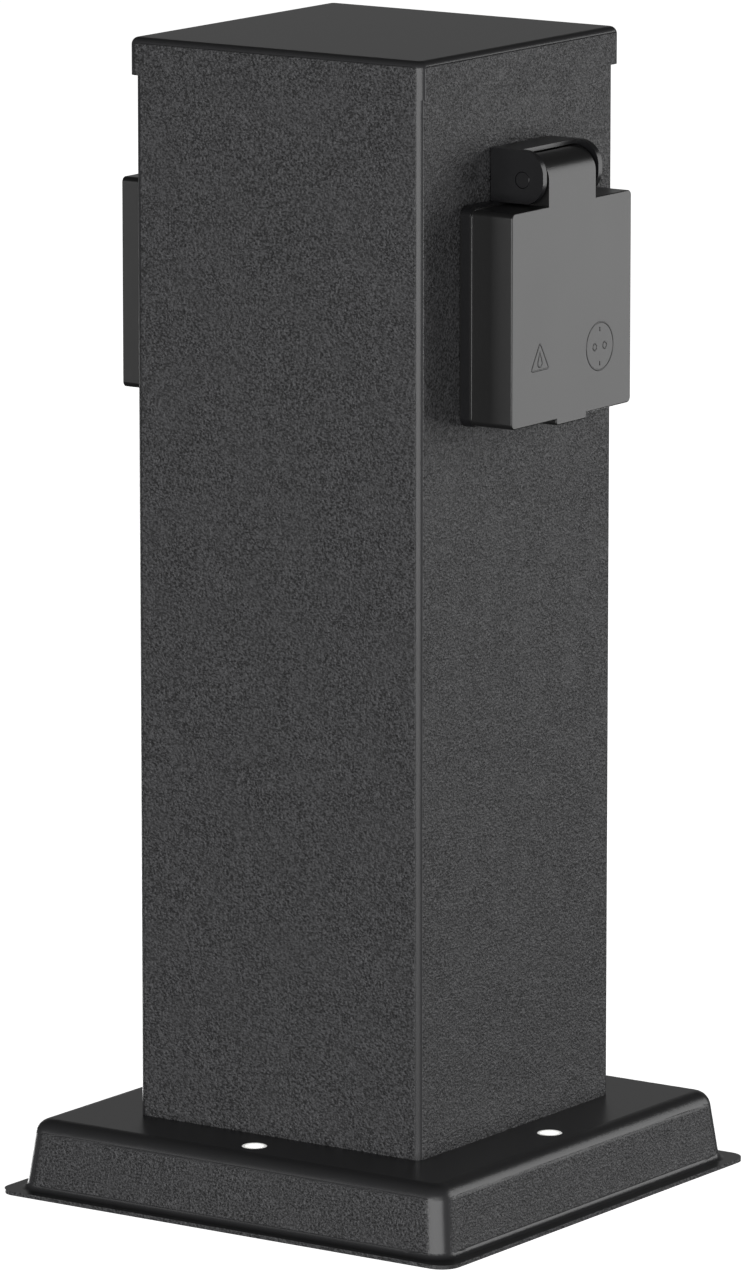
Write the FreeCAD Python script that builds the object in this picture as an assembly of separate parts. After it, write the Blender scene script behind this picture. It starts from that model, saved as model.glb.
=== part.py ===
import FreeCAD, Part
import math
import os

# Garden power post: a square sheet-steel column on a drawn foot, with a lidded mains socket on each of
# two opposite faces. Millimetres, +Z up, origin under the middle of the foot. The sockets face +X
# ("right") and -X ("left"); the plain faces are -Y and +Y.

Vec = FreeCAD.Vector
X_DIR, Y_DIR, Z_DIR = Vec(1, 0, 0), Vec(0, 1, 0), Vec(0, 0, 1)

# ---------------------------------------------------------------- sheet-steel body
SHEET = 1.2                  # thickness of every pressed or folded sheet part
POST_WIDTH = 100.0           # outside of the square column
POST_CORNER_R = 2.2          # outside radius of the column's folded corners
POST_LENGTH = 318.2          # column, from the foot's top to its open top end
CAP_SEAT = 0.5               # the cap's inside bend keeps it this far above the column's end
FOOT_HEIGHT = 21.9           # ground to the top of the foot
FOOT_LEDGE = 23.1            # width of the foot's top outside the column
FOOT_DRAFT = 2.6             # how far each side leans out from top to ground
FOOT_CORNER_R = 6.0          # upright corners of the foot
FOOT_EDGE_R = 5.0            # rounded rim round the foot's top
FOOT_BEND_R = 2.0            # inside bend between side and lip
LIP_WIDTH = 4.6              # flat lip outside the side wall, at the ground
LIP_CORNER_R = 6.0
CAP_GAP = 0.2                # slip fit between the cap's skirt and the column
CAP_SKIRT = 9.3              # how far the skirt reaches down over the column
CAP_CORNER_R = 2.8
CAP_EDGE_R = 2.2
CAP_CLIP_WIDTH = 16.0
CAP_CLIP_T = 0.8
CAP_CLIP_DROP = 22.0         # each leaf, from the cap's underside
CAP_CLIP_SEAT = 9.0          # welded part of each clip
CAP_CLIP_BOW = 1.6
CAP_CLIP_ROOT = 3.0          # straight stretch above the bow
TOUCH_GAP = 0.05             # between two pieces that bear on each other

# ---------------------------------------------------------------- ground fixing
ANCHOR_OFFSET = 12.0         # anchor hole axis, outside the column's face
ANCHOR_BORE_R = 2.7          # for a 5 mm ground screw
ANCHOR_SLEEVE_WALL = 1.0
ANCHOR_FOOT_R = 6.0
ANCHOR_FOOT_T = 1.6
SLEEVE_GAP = 0.05            # sleeve in its hole in the foot

# ---------------------------------------------------------------- column to foot joint
ANGLE_T = 2.0                # folded angle welded inside the column
ANGLE_LEG = 20.0
ANGLE_UPRIGHT = 26.0
ANGLE_LENGTH = 60.0
FOOT_SCREW_R = 2.5
FOOT_SCREW_SPREAD = 20.0     # screws each side of the angle's middle
FOOT_SCREW_INSET = 11.0      # screw axis from the column's inner wall
SCREW_GAP = 0.2              # clearance hole round a screw
THREAD_GAP = 0.04            # between a screw and the thread that holds it
WASHER_T = 1.0
WASHER_R = 5.0
HEAD_WIDTH = 1.75            # screw heads and nuts, for each mm of thread radius
HEAD_HEIGHT = 1.2
HEX_SOCKET = 1.6
SOCKET_FLOOR = 0.4           # share of a head's height that is left under its recess
NUT_HEIGHT = 1.6
NUT_WIDTH = 2.5
NUT_EXTRA = 1.9              # and this much more across a nut's flats
SCREW_END = 1.0              # how far a screw stands out of its nut

# ---------------------------------------------------------------- socket housing
SOCKET_DROP = 75.55          # cap's top to the socket's axis
HOUSING_GASKET_T = 0.8
FLANGE_T = 3.5
FLANGE_HALF_W = 30.6
FLANGE_HALF_H = 31.9
FLANGE_CORNER_R = 2.6
FLANGE_EDGE_R = 0.5
BARREL_R = 26.5              # part of the housing that passes into the column
BARREL_DEPTH = 5.5
BARREL_GAP = 0.5             # barrel in the column's cut-out
COLLAR_R = 23.75             # ring that the lid's seal meets
COLLAR_LENGTH = 9.5
WELL_R = 19.5                # recess that a plug goes into
WELL_DEPTH = 17.5
WELL_WALL = 2.1
SLIP = 0.1                   # fit between moulded pieces
HOUSING_SCREW_Y = 24.5
HOUSING_SCREW_Z = 25.2
HOUSING_SCREW_R = 1.75
HOUSING_HEAD_R = 3.4
CROSS_HALF_T = 0.4           # cross recess in those heads
CROSS_DEPTH = 1.1
GASKET_INSET = 0.6           # gasket's edge, inside the flange's

# ---------------------------------------------------------------- hinge
HINGE_X = 11.6               # pin axis, outside the column's face
HINGE_Z = 38.65              # pin axis, above the socket's axis
HINGE_HALF_W = 15.4          # outside of the ears
EAR_T = 1.95
EAR_FRONT = 7.15             # ear's front, ahead of the pin
EAR_TOP = 8.6                # ear's top, above the pin
EAR_UNDER = 6.9              # ear's underside, below the pin
EAR_NOSE_R = 7.0
EAR_ROOT = 0.5               # how far ears and tongue are rooted in the flange
TONGUE_ROOT = 3.0
ROOF_BACK = 1.0              # roof's front edge, behind the pin
ROOF_T = 1.2
PIN_R = 2.4
PIN_GAP = 0.08
PIN_CHAMFER = 0.2

# ---------------------------------------------------------------- lid
LID_GAP = 0.2                # between the closed lid and the flange
LID_FRONT = 18.65            # lid's front face, outside the column's face
LID_HALF_W = 31.1
LID_HALF_H = 31.15
LID_WALL = 1.8
LID_CORNER_R = 1.6
LID_EDGE_R = 0.4
RIM_PROUD = 0.4              # bead round the lid's open edge
RIM_LENGTH = 0.7
RIM_EDGE_R = 0.24
TAB_HALF_W = 12.15           # hinge tab of the lid
FINGER_HALF_W = 7.9
FINGER_DROP = 1.7
FINGER_DEPTH = 5.8
FINGER_CORNER_R = 0.9
LID_HOLLOW_R = 1.0           # inside corners
SEAL_R_OUT = 24.8
SEAL_R_IN = 20.6
SEAL_GAP = 0.25              # seal to the collar's rim, closed
SEAL_LIP_R = 0.6
SPRING_WIRE_R = 0.45
SPRING_MEAN_R = 3.6
SPRING_TURNS = 6.5
SPRING_PITCH = 1.4
SPRING_GAP = 0.15
SPRING_LEG = 6.0             # each leg, below the pin
POCKET_HALF_W = 5.5          # spring pocket in the knuckle

# ---------------------------------------------------------------- contacts
PIN_SPACING = 19.0           # between the two plug pins
PIN_HOLE_R = 2.9
INSERT_SHOULDER = 3.0
PIN_HOLE_LEAD = 0.9          # lead-in round each pin hole
MOUTH_CHAMFER = 0.8
GUIDE_HALF_W = 2.3
GUIDE_DEPTH = 1.4
GUIDE_ROOT = 0.6
GUIDE_SET_BACK = 1.5         # guide rib's front, behind the well's rim
CARRIER_FLANGE = 2.5
CARRIER_R = 21.0
CARRIER_DEPTH = 16.5         # insert's back to the carrier's open back
CHAMBER_R = 14.2             # shutter chamber
CHAMBER_DEPTH = 2.2
CHAMBER_FLOOR = 2.3
PIVOT_ROOT = 0.2
PIVOT_GAP = 0.08
SHUTTER_T = 1.8
SHUTTER_R = 13.6
SHUTTER_HUB_R = 4.0
SHUTTER_PIVOT_R = 1.5
SHUTTER_HALF_ANGLE = 21.0
SHUTTER_FLOAT = 0.2          # between the shutter and the well's back
RAMP_R = 3.1                 # round hollows that a plug's pins slide on
RAMP_LIFT = 2.2
RAMP_OFFSET = 4.6
HAIRPIN_WIRE_R = 0.25
HAIRPIN_TOUCH = 9.0          # where the hairpin meets a vane, from the pivot
HAIRPIN_GAP = 0.1
HAIRPIN_BEND_R = 1.5
SLEEVE_R_OUT = 3.4
SLEEVE_R_IN = 2.45
SLEEVE_LENGTH = 6.0
SLEEVE_FLOOR = 0.6           # bore's bottom, inside the terminal
SLIT_HALF = 0.35
SLIT_ROOT = 0.8
TERMINAL_HALF = 3.5
TERMINAL_LENGTH = 5.2
WIRE_STOP = 0.8              # what a wire's hole leaves of a terminal's length
WIRE_HOLE_R = 1.15
TERMINAL_SCREW_R = 1.3
CLIP_HALF_W = 2.25           # earth strap
CLIP_T = 0.8
CLIP_ARM_INSET = 1.4         # inside face of an arm, inside the well's wall
CLIP_SET_BACK = 1.2          # crossbar, behind the sleeves' front
CLIP_SPRING = 7.0            # sprung tip of each arm
CLIP_BOW = 1.6
CLIP_GAP = 0.15              # round an arm in its slot
CLIP_FLEX = 0.9              # room for it to bend inwards
CLIP_REACH = 6.0             # arm's tip, behind the well's rim
EARTH_TERMINAL_Z = -12.0
EARTH_TERMINAL_HALF = 2.9
COVER_T = 2.0
COVER_SKIRT = 8.0
COVER_WALL = 1.2
COVER_EDGE_R = 1.0
COVER_HOLE_GAP = 0.2         # round a wire in the cover
INSERT_SCREW_R = 1.5
INSERT_SCREW_PCR = 24.1
INSERT_SCREW_BITE = 4.5
INSERT_SCREW_SPARE = 0.5     # thread beyond the screw's tip

# ---------------------------------------------------------------- wiring
WIRE_R = 1.5
COPPER_R = 0.9
WIRE_GAP = 0.3               # round a wire in an insulating wall
PRESS_AT = COPPER_R + 0.05   # a clamping screw's tip, from the wire's middle
HEAD_LIFT = 0.3              # and its head, above the clamp
WIRE_BEND_R = 8.0
WIRE_TURN = 11.0             # a wire turns down this far behind its cover
WIRE_DROP = 30.0
WIRE_OUT = 15.0              # and comes down this far outside the terminal block
WIRE_RISE = 45.0
WIRE_STRIP = 1.8             # insulation that goes into the block
WIRE_END_GAP = 0.4
GROMMET_BORE_R = 5.0
GROMMET_HOLE_R = 10.0
GROMMET_RIM = 2.5
GROMMET_RIM_T = 1.5
GROMMET_NECK = 4.0
GROMMET_NECK_IN = 1.0        # neck's foot, inside the hole's edge
GROMMET_LIP = 1.2            # wall at the neck's top
STAND_HEIGHT = 58.0          # shelf's top above the foot
STAND_T = 1.5
STAND_HALF_X = 13.0
STAND_HALF_Y = 18.0
STAND_TOE = 10.0
STAND_SCREW_R = 2.0
STAND_SCREW_OUT = 5.5        # screw axis, outside the stand's leg
POLE_PITCH = 9.5
POLE_HALF = 2.8
BLOCK_HALF_X = 11.0
BLOCK_HALF_Y = 15.0
BLOCK_HEIGHT = 14.0
BLOCK_EDGE_R = 1.0
CLAMP_SCREW_X = 5.0
CLAMP_R = 4.8                # cable that the strain relief takes, radius
CLAMP_HEIGHT = 28.0          # strain relief above the foot
CORD_SCREW_R = 1.5
CORD_SCREW_SPREAD = 8.0
CORD_BAR_END = 3.5           # bar's end, outside the screw
CORD_BAR_HALF = 4.0
CORD_SADDLE = 0.7
EARTH_BOLT_R = 1.5
EARTH_WASHER_T = 0.8
WASHER_TEETH = 12
WASHER_NOTCH_R = 0.4
BLOCK_SCREW_R = 1.5
CLAMP_SCREW_R = 1.4
CLAMP_BAR_HALF = 8.9         # brass clamp, along the wires
CLAMP_WIRE_DEPTH = 6.4       # how far a bare end goes in
CLAMP_BAR_T = 2.0

# ---------------------------------------------------------------- modelling
PAST = 1.0                   # how far a cutting tool runs past a face
ON_PLANE = 1e-4              # an edge this near to a plane lies on it
RUN_SHARE = 0.45             # most of a run that a bend may take
VOLUME_ERROR = 0.02          # most that a tube may differ from section times length

# ---------------------------------------------------------------- worked-out places
HALF = POST_WIDTH / 2
INNER = HALF - SHEET
POST_TOP = FOOT_HEIGHT + POST_LENGTH
CAP_TOP = POST_TOP + CAP_SEAT + SHEET
SOCKET_Z = CAP_TOP - SOCKET_DROP
FOOT_TOP_HALF = HALF + FOOT_LEDGE
FOOT_GROUND_HALF = FOOT_TOP_HALF + FOOT_DRAFT
ANCHOR_AT = HALF + ANCHOR_OFFSET
ANCHOR_SLEEVE_R = ANCHOR_BORE_R + ANCHOR_SLEEVE_WALL
ANCHORS = [(ANCHOR_AT, 0), (0, ANCHOR_AT), (-ANCHOR_AT, 0), (0, -ANCHOR_AT)]
FOOT_SCREWS = [
    (sx * (INNER - FOOT_SCREW_INSET), sy * FOOT_SCREW_SPREAD) for sx in (-1, 1) for sy in (-1, 1)
]
FLANGE_FRONT = HOUSING_GASKET_T + FLANGE_T
BARREL_BACK = HOUSING_GASKET_T - BARREL_DEPTH
COLLAR_FRONT = FLANGE_FRONT + COLLAR_LENGTH
WELL_OUT_R = WELL_R + WELL_WALL
BORE_R = WELL_OUT_R + SLIP
INSERT_BACK = BARREL_BACK - INSERT_SHOULDER
INSERT_FRONT = COLLAR_FRONT - 2 * SEAL_GAP
WELL_FLOOR = INSERT_FRONT - WELL_DEPTH
CHAMBER_BACK = INSERT_BACK - CHAMBER_DEPTH
CARRIER_BACK = INSERT_BACK - CARRIER_DEPTH
SLEEVE_FRONT = CHAMBER_BACK - CHAMBER_FLOOR
STRAP_FRONT = SLEEVE_FRONT - CLIP_SET_BACK
CLIP_ARM_Z = WELL_R - CLIP_ARM_INSET
TERMINAL_FRONT = SLEEVE_FRONT - SLEEVE_LENGTH
TERMINAL_BACK = TERMINAL_FRONT - TERMINAL_LENGTH
COVER_BACK = CARRIER_BACK - COVER_T
SHUTTER_FRONT = INSERT_BACK - SHUTTER_FLOAT
TERMINAL_MIDDLE = TERMINAL_FRONT - TERMINAL_LENGTH / 2
TERMINAL_WIRE_DEPTH = TERMINAL_LENGTH - WIRE_STOP
LID_REAR = FLANGE_FRONT + LID_GAP
KNUCKLE_R = LID_FRONT - HINGE_X
SPRING_HALF = SPRING_TURNS * SPRING_PITCH / 2
HOUSING_SCREWS = [(sy * HOUSING_SCREW_Y, sz * HOUSING_SCREW_Z) for sy in (-1, 1) for sz in (-1, 1)]
SHELF_TOP = FOOT_HEIGHT + STAND_HEIGHT
POLE_Z = SHELF_TOP + BLOCK_HEIGHT / 2
CLAMP_Z = FOOT_HEIGHT + CLAMP_HEIGHT
CLAMP_FACE = STAND_HALF_Y - STAND_T - 2 * CLAMP_R
SIDES = (("right", 1), ("left", -1))


# ================================================================ helpers
def box(x0, x1, y0, y1, z0, z1):
    """A box from its lowest and highest corner values."""
    return Part.makeBox(x1 - x0, y1 - y0, z1 - z0, Vec(x0, y0, z0))


def rod(r, start, length, direction):
    """A round bar from a point, along a direction."""
    return Part.makeCylinder(r, length, Vec(*start), direction)


def ring(r_out, r_in, start, length, direction):
    """A round tube."""
    return rod(r_out, start, length, direction).cut(rod(r_in, start, length, direction))


def merge(shapes):
    """One clean solid from several that touch."""
    return shapes[0].fuse(shapes[1:]).removeSplitter()


def square_wire(half_x, half_y, r, z):
    """A rounded rectangle at height z, counter-clockwise."""
    diagonal = r * math.sqrt(0.5)
    edges = []
    corners = [(1, -1), (1, 1), (-1, 1), (-1, -1)]
    for i, (sx, sy) in enumerate(corners):
        cx, cy = sx * (half_x - r), sy * (half_y - r)
        side_x, side_y = Vec(cx + sx * r, cy, z), Vec(cx, cy + sy * r, z)
        middle = Vec(cx + sx * diagonal, cy + sy * diagonal, z)
        first, last = (side_y, side_x) if i % 2 == 0 else (side_x, side_y)
        edges.append(Part.Arc(first, middle, last).toShape())
    joined = []
    for i, arc in enumerate(edges):
        following = edges[(i + 1) % len(edges)]
        joined.append(arc)
        joined.append(Part.LineSegment(arc.Vertexes[-1].Point, following.Vertexes[0].Point).toShape())
    return Part.Wire(joined)


def square_bar(half_x, half_y, r, z0, z1):
    """An upright bar with a rounded rectangular section."""
    return Part.Face(square_wire(half_x, half_y, r, z0)).extrude(Vec(0, 0, z1 - z0))


def square_taper(low, high, r, z0, z1):
    """An upright square block that narrows from half-width low to high."""
    return Part.makeLoft([square_wire(low, low, r, z0), square_wire(high, high, r, z1)], True, True)


def facing_out(shape):
    """Turns a shape made along +Z, with its width along X, to face +X with its width along Y."""
    turned = shape.copy()
    turned.rotate(Vec(0, 0, 0), Vec(0, 1, 0), 90)
    turned.rotate(Vec(0, 0, 0), Vec(1, 0, 0), 90)
    return turned


def plate_out(half_w, half_h, r, x0, x1):
    """A rounded plate that faces +X, from x0 to x1."""
    return facing_out(square_bar(half_w, half_h, r, x0, x1))


def edges_at(shape, test):
    """The edges whose box passes a test."""
    return [e for e in shape.Edges if test(e.BoundBox)]


def level_edges(shape, z, reach=None):
    """Edges that lie at one height, and within a distance of the middle if reach is given."""

    def chosen(b):
        flat = abs(b.ZMin - z) < ON_PLANE and abs(b.ZMax - z) < ON_PLANE
        near = reach is None or max(abs(b.XMin), abs(b.XMax), abs(b.YMin), abs(b.YMax)) < reach
        return flat and near

    return edges_at(shape, chosen)


def front_edges(shape, x):
    """Edges that lie in one plane across X."""
    return edges_at(shape, lambda b: abs(b.XMin - x) < ON_PLANE and abs(b.XMax - x) < ON_PLANE)


def hexagon(af, start, height, direction):
    """A hexagonal prism measured across its flats."""
    corner = af / math.sqrt(3)
    points = [
        Vec(corner * math.cos(math.radians(60 * i)), corner * math.sin(math.radians(60 * i)), 0)
        for i in range(7)
    ]
    prism = Part.Face(Part.makePolygon(points)).extrude(Vec(0, 0, height))
    prism.Placement = FreeCAD.Placement(Vec(*start), FreeCAD.Rotation(Z_DIR, direction))
    return prism


def head_radius(r):
    """The head of a screw of radius r."""
    return HEAD_WIDTH * r


def nut(r, start, direction):
    """A hexagonal nut for a screw of radius r."""
    height = NUT_HEIGHT * r
    prism = hexagon(NUT_WIDTH * r + NUT_EXTRA, start, height, direction)
    return prism.cut(rod(r + THREAD_GAP, start, height, direction))


def wire_path(points, bend_r):
    """Straight runs joined by tangent arcs, with the arc's radius limited by the shorter run."""
    edges = []
    last = points[0]
    for i in range(1, len(points) - 1):
        before, here, after = points[i - 1], points[i], points[i + 1]
        inward, outward = (here - before), (after - here)
        run = min(inward.Length, outward.Length)
        inward.normalize()
        outward.normalize()
        turn = inward.getAngle(outward)
        radius = min(bend_r, RUN_SHARE * run / math.tan(turn / 2))
        back = radius * math.tan(turn / 2)
        start, end = here - inward * back, here + outward * back
        bisector = outward - inward
        bisector.normalize()
        centre = here + bisector * (radius / math.cos(turn / 2))
        middle = centre - bisector * radius
        edges.append(Part.LineSegment(last, start).toShape())
        edges.append(Part.Arc(start, middle, end).toShape())
        last = end
    edges.append(Part.LineSegment(last, points[-1]).toShape())
    return Part.Wire(edges)


def tube(points, r, bend_r):
    """A round bar that follows a path, tested against its section times its length."""
    path = wire_path(points, bend_r)
    start = points[0]
    section = Part.Wire([Part.Circle(start, points[1] - start, r).toShape()])
    solid = path.makePipeShell([section], True, True)
    wanted = math.pi * r * r * path.Length
    if abs(solid.Volume - wanted) > VOLUME_ERROR * wanted:
        raise ValueError(f"tube volume {solid.Volume:.1f}, wanted {wanted:.1f}")
    return solid


def place(shape, side):
    """Moves a socket piece from its own frame to its face of the column. The socket's own frame has
    its origin on the column's face, at the socket's axis, with +X outwards."""
    placed = shape.copy()
    placed.translate(Vec(HALF, 0, SOCKET_Z))
    if side < 0:
        placed.rotate(Vec(0, 0, 0), Z_DIR, 180)
    return placed


# ================================================================ foot, column and cap
def base_plate():
    """The drawn foot: a shallow tray upside down, with leaning sides and a flat lip."""

    def half_at(z):
        return FOOT_TOP_HALF + FOOT_DRAFT * (FOOT_HEIGHT - z) / FOOT_HEIGHT

    outer = square_taper(half_at(0), FOOT_TOP_HALF, FOOT_CORNER_R, 0, FOOT_HEIGHT)
    outer = outer.makeFillet(FOOT_EDGE_R, level_edges(outer, FOOT_HEIGHT))
    lip_half = FOOT_GROUND_HALF + LIP_WIDTH
    outer = merge([outer, square_bar(lip_half, lip_half, LIP_CORNER_R, 0, SHEET)])
    outer = outer.makeFillet(FOOT_BEND_R, level_edges(outer, SHEET, lip_half - PAST))
    skin = SHEET * math.hypot(1, FOOT_DRAFT / FOOT_HEIGHT)
    roof = FOOT_HEIGHT - SHEET
    inner = square_taper(half_at(-PAST) - skin, half_at(roof) - skin, FOOT_CORNER_R - SHEET, -PAST, roof)
    inner = inner.makeFillet(FOOT_EDGE_R - SHEET, level_edges(inner, roof))
    tray = outer.cut(inner)
    tray = tray.makeFillet(FOOT_BEND_R + SHEET / 2, level_edges(tray, 0, lip_half - PAST))
    below = FOOT_HEIGHT - SHEET - PAST
    through = SHEET + 2 * PAST
    holes = [rod(GROMMET_HOLE_R, (0, 0, below), through, Z_DIR)]
    for x, y in ANCHORS:
        holes.append(rod(ANCHOR_SLEEVE_R + SLEEVE_GAP, (x, y, below), through, Z_DIR))
    for x, y in FOOT_SCREWS:
        holes.append(rod(FOOT_SCREW_R + SCREW_GAP, (x, y, below), through, Z_DIR))
    for x, y in stand_screw_places():
        holes.append(rod(STAND_SCREW_R + SCREW_GAP, (x, y, below), through, Z_DIR))
    return tray.cut(holes)


def post_tube():
    """The square column, with a round cut-out and four screw holes for each socket."""
    body = square_bar(HALF, HALF, POST_CORNER_R, FOOT_HEIGHT, POST_TOP)
    body = body.cut(square_bar(INNER, INNER, POST_CORNER_R - SHEET, FOOT_HEIGHT, POST_TOP))
    back, through = -SHEET - PAST, SHEET + 2 * PAST
    cuts = []
    for _, side in SIDES:
        cuts.append(place(rod(BARREL_R + BARREL_GAP, (back, 0, 0), through, X_DIR), side))
        for y, z in HOUSING_SCREWS:
            hole = rod(HOUSING_SCREW_R + SCREW_GAP, (back, y, z), through, X_DIR)
            cuts.append(place(hole, side))
    return body.cut(cuts)


def top_cap():
    """The pressed cap: a shallow tray whose skirt slips over the column."""
    inside = HALF + CAP_GAP
    outside = inside + SHEET
    low = POST_TOP - CAP_SKIRT
    cap = square_bar(outside, outside, CAP_CORNER_R, low, CAP_TOP)
    cap = cap.makeFillet(CAP_EDGE_R, level_edges(cap, CAP_TOP))
    hollow = square_bar(inside, inside, CAP_CORNER_R - SHEET, low - PAST, CAP_TOP - SHEET)
    hollow = hollow.makeFillet(CAP_EDGE_R - SHEET, level_edges(hollow, CAP_TOP - SHEET))
    return cap.cut(hollow)


def cap_clips():
    """Four bowed leaf clips welded under the cap, which grip the column's inner walls."""
    clips = []
    width, leaf = CAP_CLIP_WIDTH, CAP_CLIP_T
    roof = CAP_TOP - SHEET
    wall = INNER - TOUCH_GAP
    root = wall - CAP_CLIP_BOW - leaf
    bow_top, bow_middle, low = roof - leaf - CAP_CLIP_ROOT, roof - CAP_CLIP_DROP / 2, roof - CAP_CLIP_DROP
    for turn in range(4):
        seat_plate = box(root - CAP_CLIP_SEAT, root + leaf, -width / 2, width / 2, roof - leaf, roof)
        outline = [
            (root, roof - leaf), (root, bow_top), (wall - leaf, bow_middle), (root, low),
            (root + leaf, low), (wall, bow_middle), (root + leaf, bow_top), (root + leaf, roof - leaf),
            (root, roof - leaf),
        ]
        wire = Part.makePolygon([Vec(x, -width / 2, z) for x, z in outline])
        spring_leaf = Part.Face(wire).extrude(Vec(0, width, 0))
        clip = merge([seat_plate, spring_leaf])
        clip.rotate(Vec(0, 0, 0), Z_DIR, 90 * turn)
        clips.append(clip)
    return Part.makeCompound(clips)


def anchor_sleeves():
    """Four light-coloured sleeves that stop a ground screw from crushing the hollow foot."""
    sleeves = []
    for x, y in ANCHORS:
        sleeve = merge([
            rod(ANCHOR_SLEEVE_R, (x, y, 0), FOOT_HEIGHT, Z_DIR),
            rod(ANCHOR_FOOT_R, (x, y, 0), ANCHOR_FOOT_T, Z_DIR),
        ])
        sleeves.append(sleeve.cut(rod(ANCHOR_BORE_R, (x, y, 0), FOOT_HEIGHT, Z_DIR)))
    return Part.makeCompound(sleeves)


def corner_angles():
    """Two folded angles, welded to the column's inner walls and screwed to the foot."""
    angles = []
    for side in (-1, 1):
        wall = side * INNER
        leg_in = side * (INNER - ANGLE_LEG)
        upright_in = side * (INNER - ANGLE_T)
        half = ANGLE_LENGTH / 2
        leg_x = sorted((wall, leg_in))
        upright_x = sorted((wall, upright_in))
        leg = box(*leg_x, -half, half, FOOT_HEIGHT, FOOT_HEIGHT + ANGLE_T)
        upright = box(*upright_x, -half, half, FOOT_HEIGHT, FOOT_HEIGHT + ANGLE_UPRIGHT)
        holes = [
            rod(FOOT_SCREW_R + SCREW_GAP, (x, y, FOOT_HEIGHT), ANGLE_T, Z_DIR)
            for x, y in FOOT_SCREWS
            if x * side > 0
        ]
        angles.append(merge([leg, upright]).cut(holes))
    return Part.makeCompound(angles)


def pan_screw(r, tip, seat, direction):
    """A screw from its tip to the seat of its round head, with a hexagon recess."""
    start, along = Vec(*tip), Vec(*direction)
    shank = rod(r, tip, (Vec(*seat) - start).dot(along), along)
    height = HEAD_HEIGHT * r
    screw = merge([shank, rod(head_radius(r), seat, height, along)])
    floor = Vec(*seat) + along * (height * SOCKET_FLOOR)
    return screw.cut(hexagon(HEX_SOCKET * r, tuple(floor), height, along))


def foot_screws():
    """Four screws, put in from under the foot, that hold the column's angles."""
    seat = FOOT_HEIGHT - SHEET - WASHER_T
    tip = FOOT_HEIGHT + ANGLE_T + NUT_HEIGHT * FOOT_SCREW_R + SCREW_END
    return Part.makeCompound([
        pan_screw(FOOT_SCREW_R, (x, y, tip), (x, y, seat), (0, 0, -1)) for x, y in FOOT_SCREWS
    ])


def foot_washers():
    """One flat washer under each of those heads."""
    low = FOOT_HEIGHT - SHEET - WASHER_T
    return Part.makeCompound([
        ring(WASHER_R, FOOT_SCREW_R + SCREW_GAP, (x, y, low), WASHER_T, Z_DIR) for x, y in FOOT_SCREWS
    ])


def foot_nuts():
    """The weld nuts on the angles."""
    low = FOOT_HEIGHT + ANGLE_T
    return Part.makeCompound([nut(FOOT_SCREW_R, (x, y, low), Z_DIR) for x, y in FOOT_SCREWS])


# ================================================================ cable entry and terminal stand
def stand_screw_places():
    """The two screws that hold the terminal stand's toes."""
    at = STAND_HALF_Y + STAND_SCREW_OUT
    return [(0, -at), (0, at)]


def cable_grommet():
    """A rubber grommet in the foot's top, with the bore that the supply cable comes up through."""
    top, low = FOOT_HEIGHT, FOOT_HEIGHT - SHEET
    rim_r = GROMMET_HOLE_R + GROMMET_RIM
    body = merge([
        rod(rim_r, (0, 0, top), GROMMET_RIM_T, Z_DIR),
        rod(GROMMET_HOLE_R - TOUCH_GAP, (0, 0, low), SHEET, Z_DIR),
        rod(rim_r, (0, 0, low - GROMMET_RIM_T), GROMMET_RIM_T, Z_DIR),
        Part.makeCone(
            GROMMET_HOLE_R - GROMMET_NECK_IN, GROMMET_BORE_R + GROMMET_LIP, GROMMET_NECK,
            Vec(0, 0, top + GROMMET_RIM_T), Z_DIR,
        ),
    ])
    length = 2 * GROMMET_RIM_T + SHEET + GROMMET_NECK
    return body.cut(rod(GROMMET_BORE_R, (0, 0, low - GROMMET_RIM_T), length, Z_DIR))


def terminal_stand():
    """A folded bridge on the foot that carries the terminal block above the cable entry."""
    y, x, t = STAND_HALF_Y, STAND_HALF_X, STAND_T
    pieces = [box(-x, x, -y, y, SHELF_TOP - t, SHELF_TOP)]
    for side in (-1, 1):
        leg = sorted((side * (y - t), side * y))
        toe = sorted((side * (y - t), side * (y + STAND_TOE)))
        pieces.append(box(-x, x, leg[0], leg[1], FOOT_HEIGHT, SHELF_TOP))
        pieces.append(box(-x, x, toe[0], toe[1], FOOT_HEIGHT, FOOT_HEIGHT + t))
    stand = merge(pieces)
    holes = [
        rod(STAND_SCREW_R + SCREW_GAP, (sx, sy, FOOT_HEIGHT), t, Z_DIR) for sx, sy in stand_screw_places()
    ]
    for by in (-POLE_PITCH / 2, POLE_PITCH / 2):
        holes.append(rod(BLOCK_SCREW_R + THREAD_GAP, (0, by, SHELF_TOP - t), t, Z_DIR))
    holes.append(rod(EARTH_BOLT_R + SCREW_GAP, (0, 0, SHELF_TOP - t), t, Z_DIR))
    holes += [
        rod(CORD_SCREW_R + SCREW_GAP, (s * CORD_SCREW_SPREAD, y - t, CLAMP_Z), t, Y_DIR) for s in (-1, 1)
    ]
    return stand.cut(holes)


def stand_screws():
    """Two screws down through the stand's toes and the foot."""
    seat = FOOT_HEIGHT + STAND_T
    tip = FOOT_HEIGHT - SHEET - NUT_HEIGHT * STAND_SCREW_R - SCREW_END
    return Part.makeCompound([
        pan_screw(STAND_SCREW_R, (x, y, tip), (x, y, seat), (0, 0, 1)) for x, y in stand_screw_places()
    ])


def stand_nuts():
    """The nuts of those screws, under the foot."""
    top = FOOT_HEIGHT - SHEET
    down = Vec(0, 0, -1)
    return Part.makeCompound([nut(STAND_SCREW_R, (x, y, top), down) for x, y in stand_screw_places()])


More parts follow.
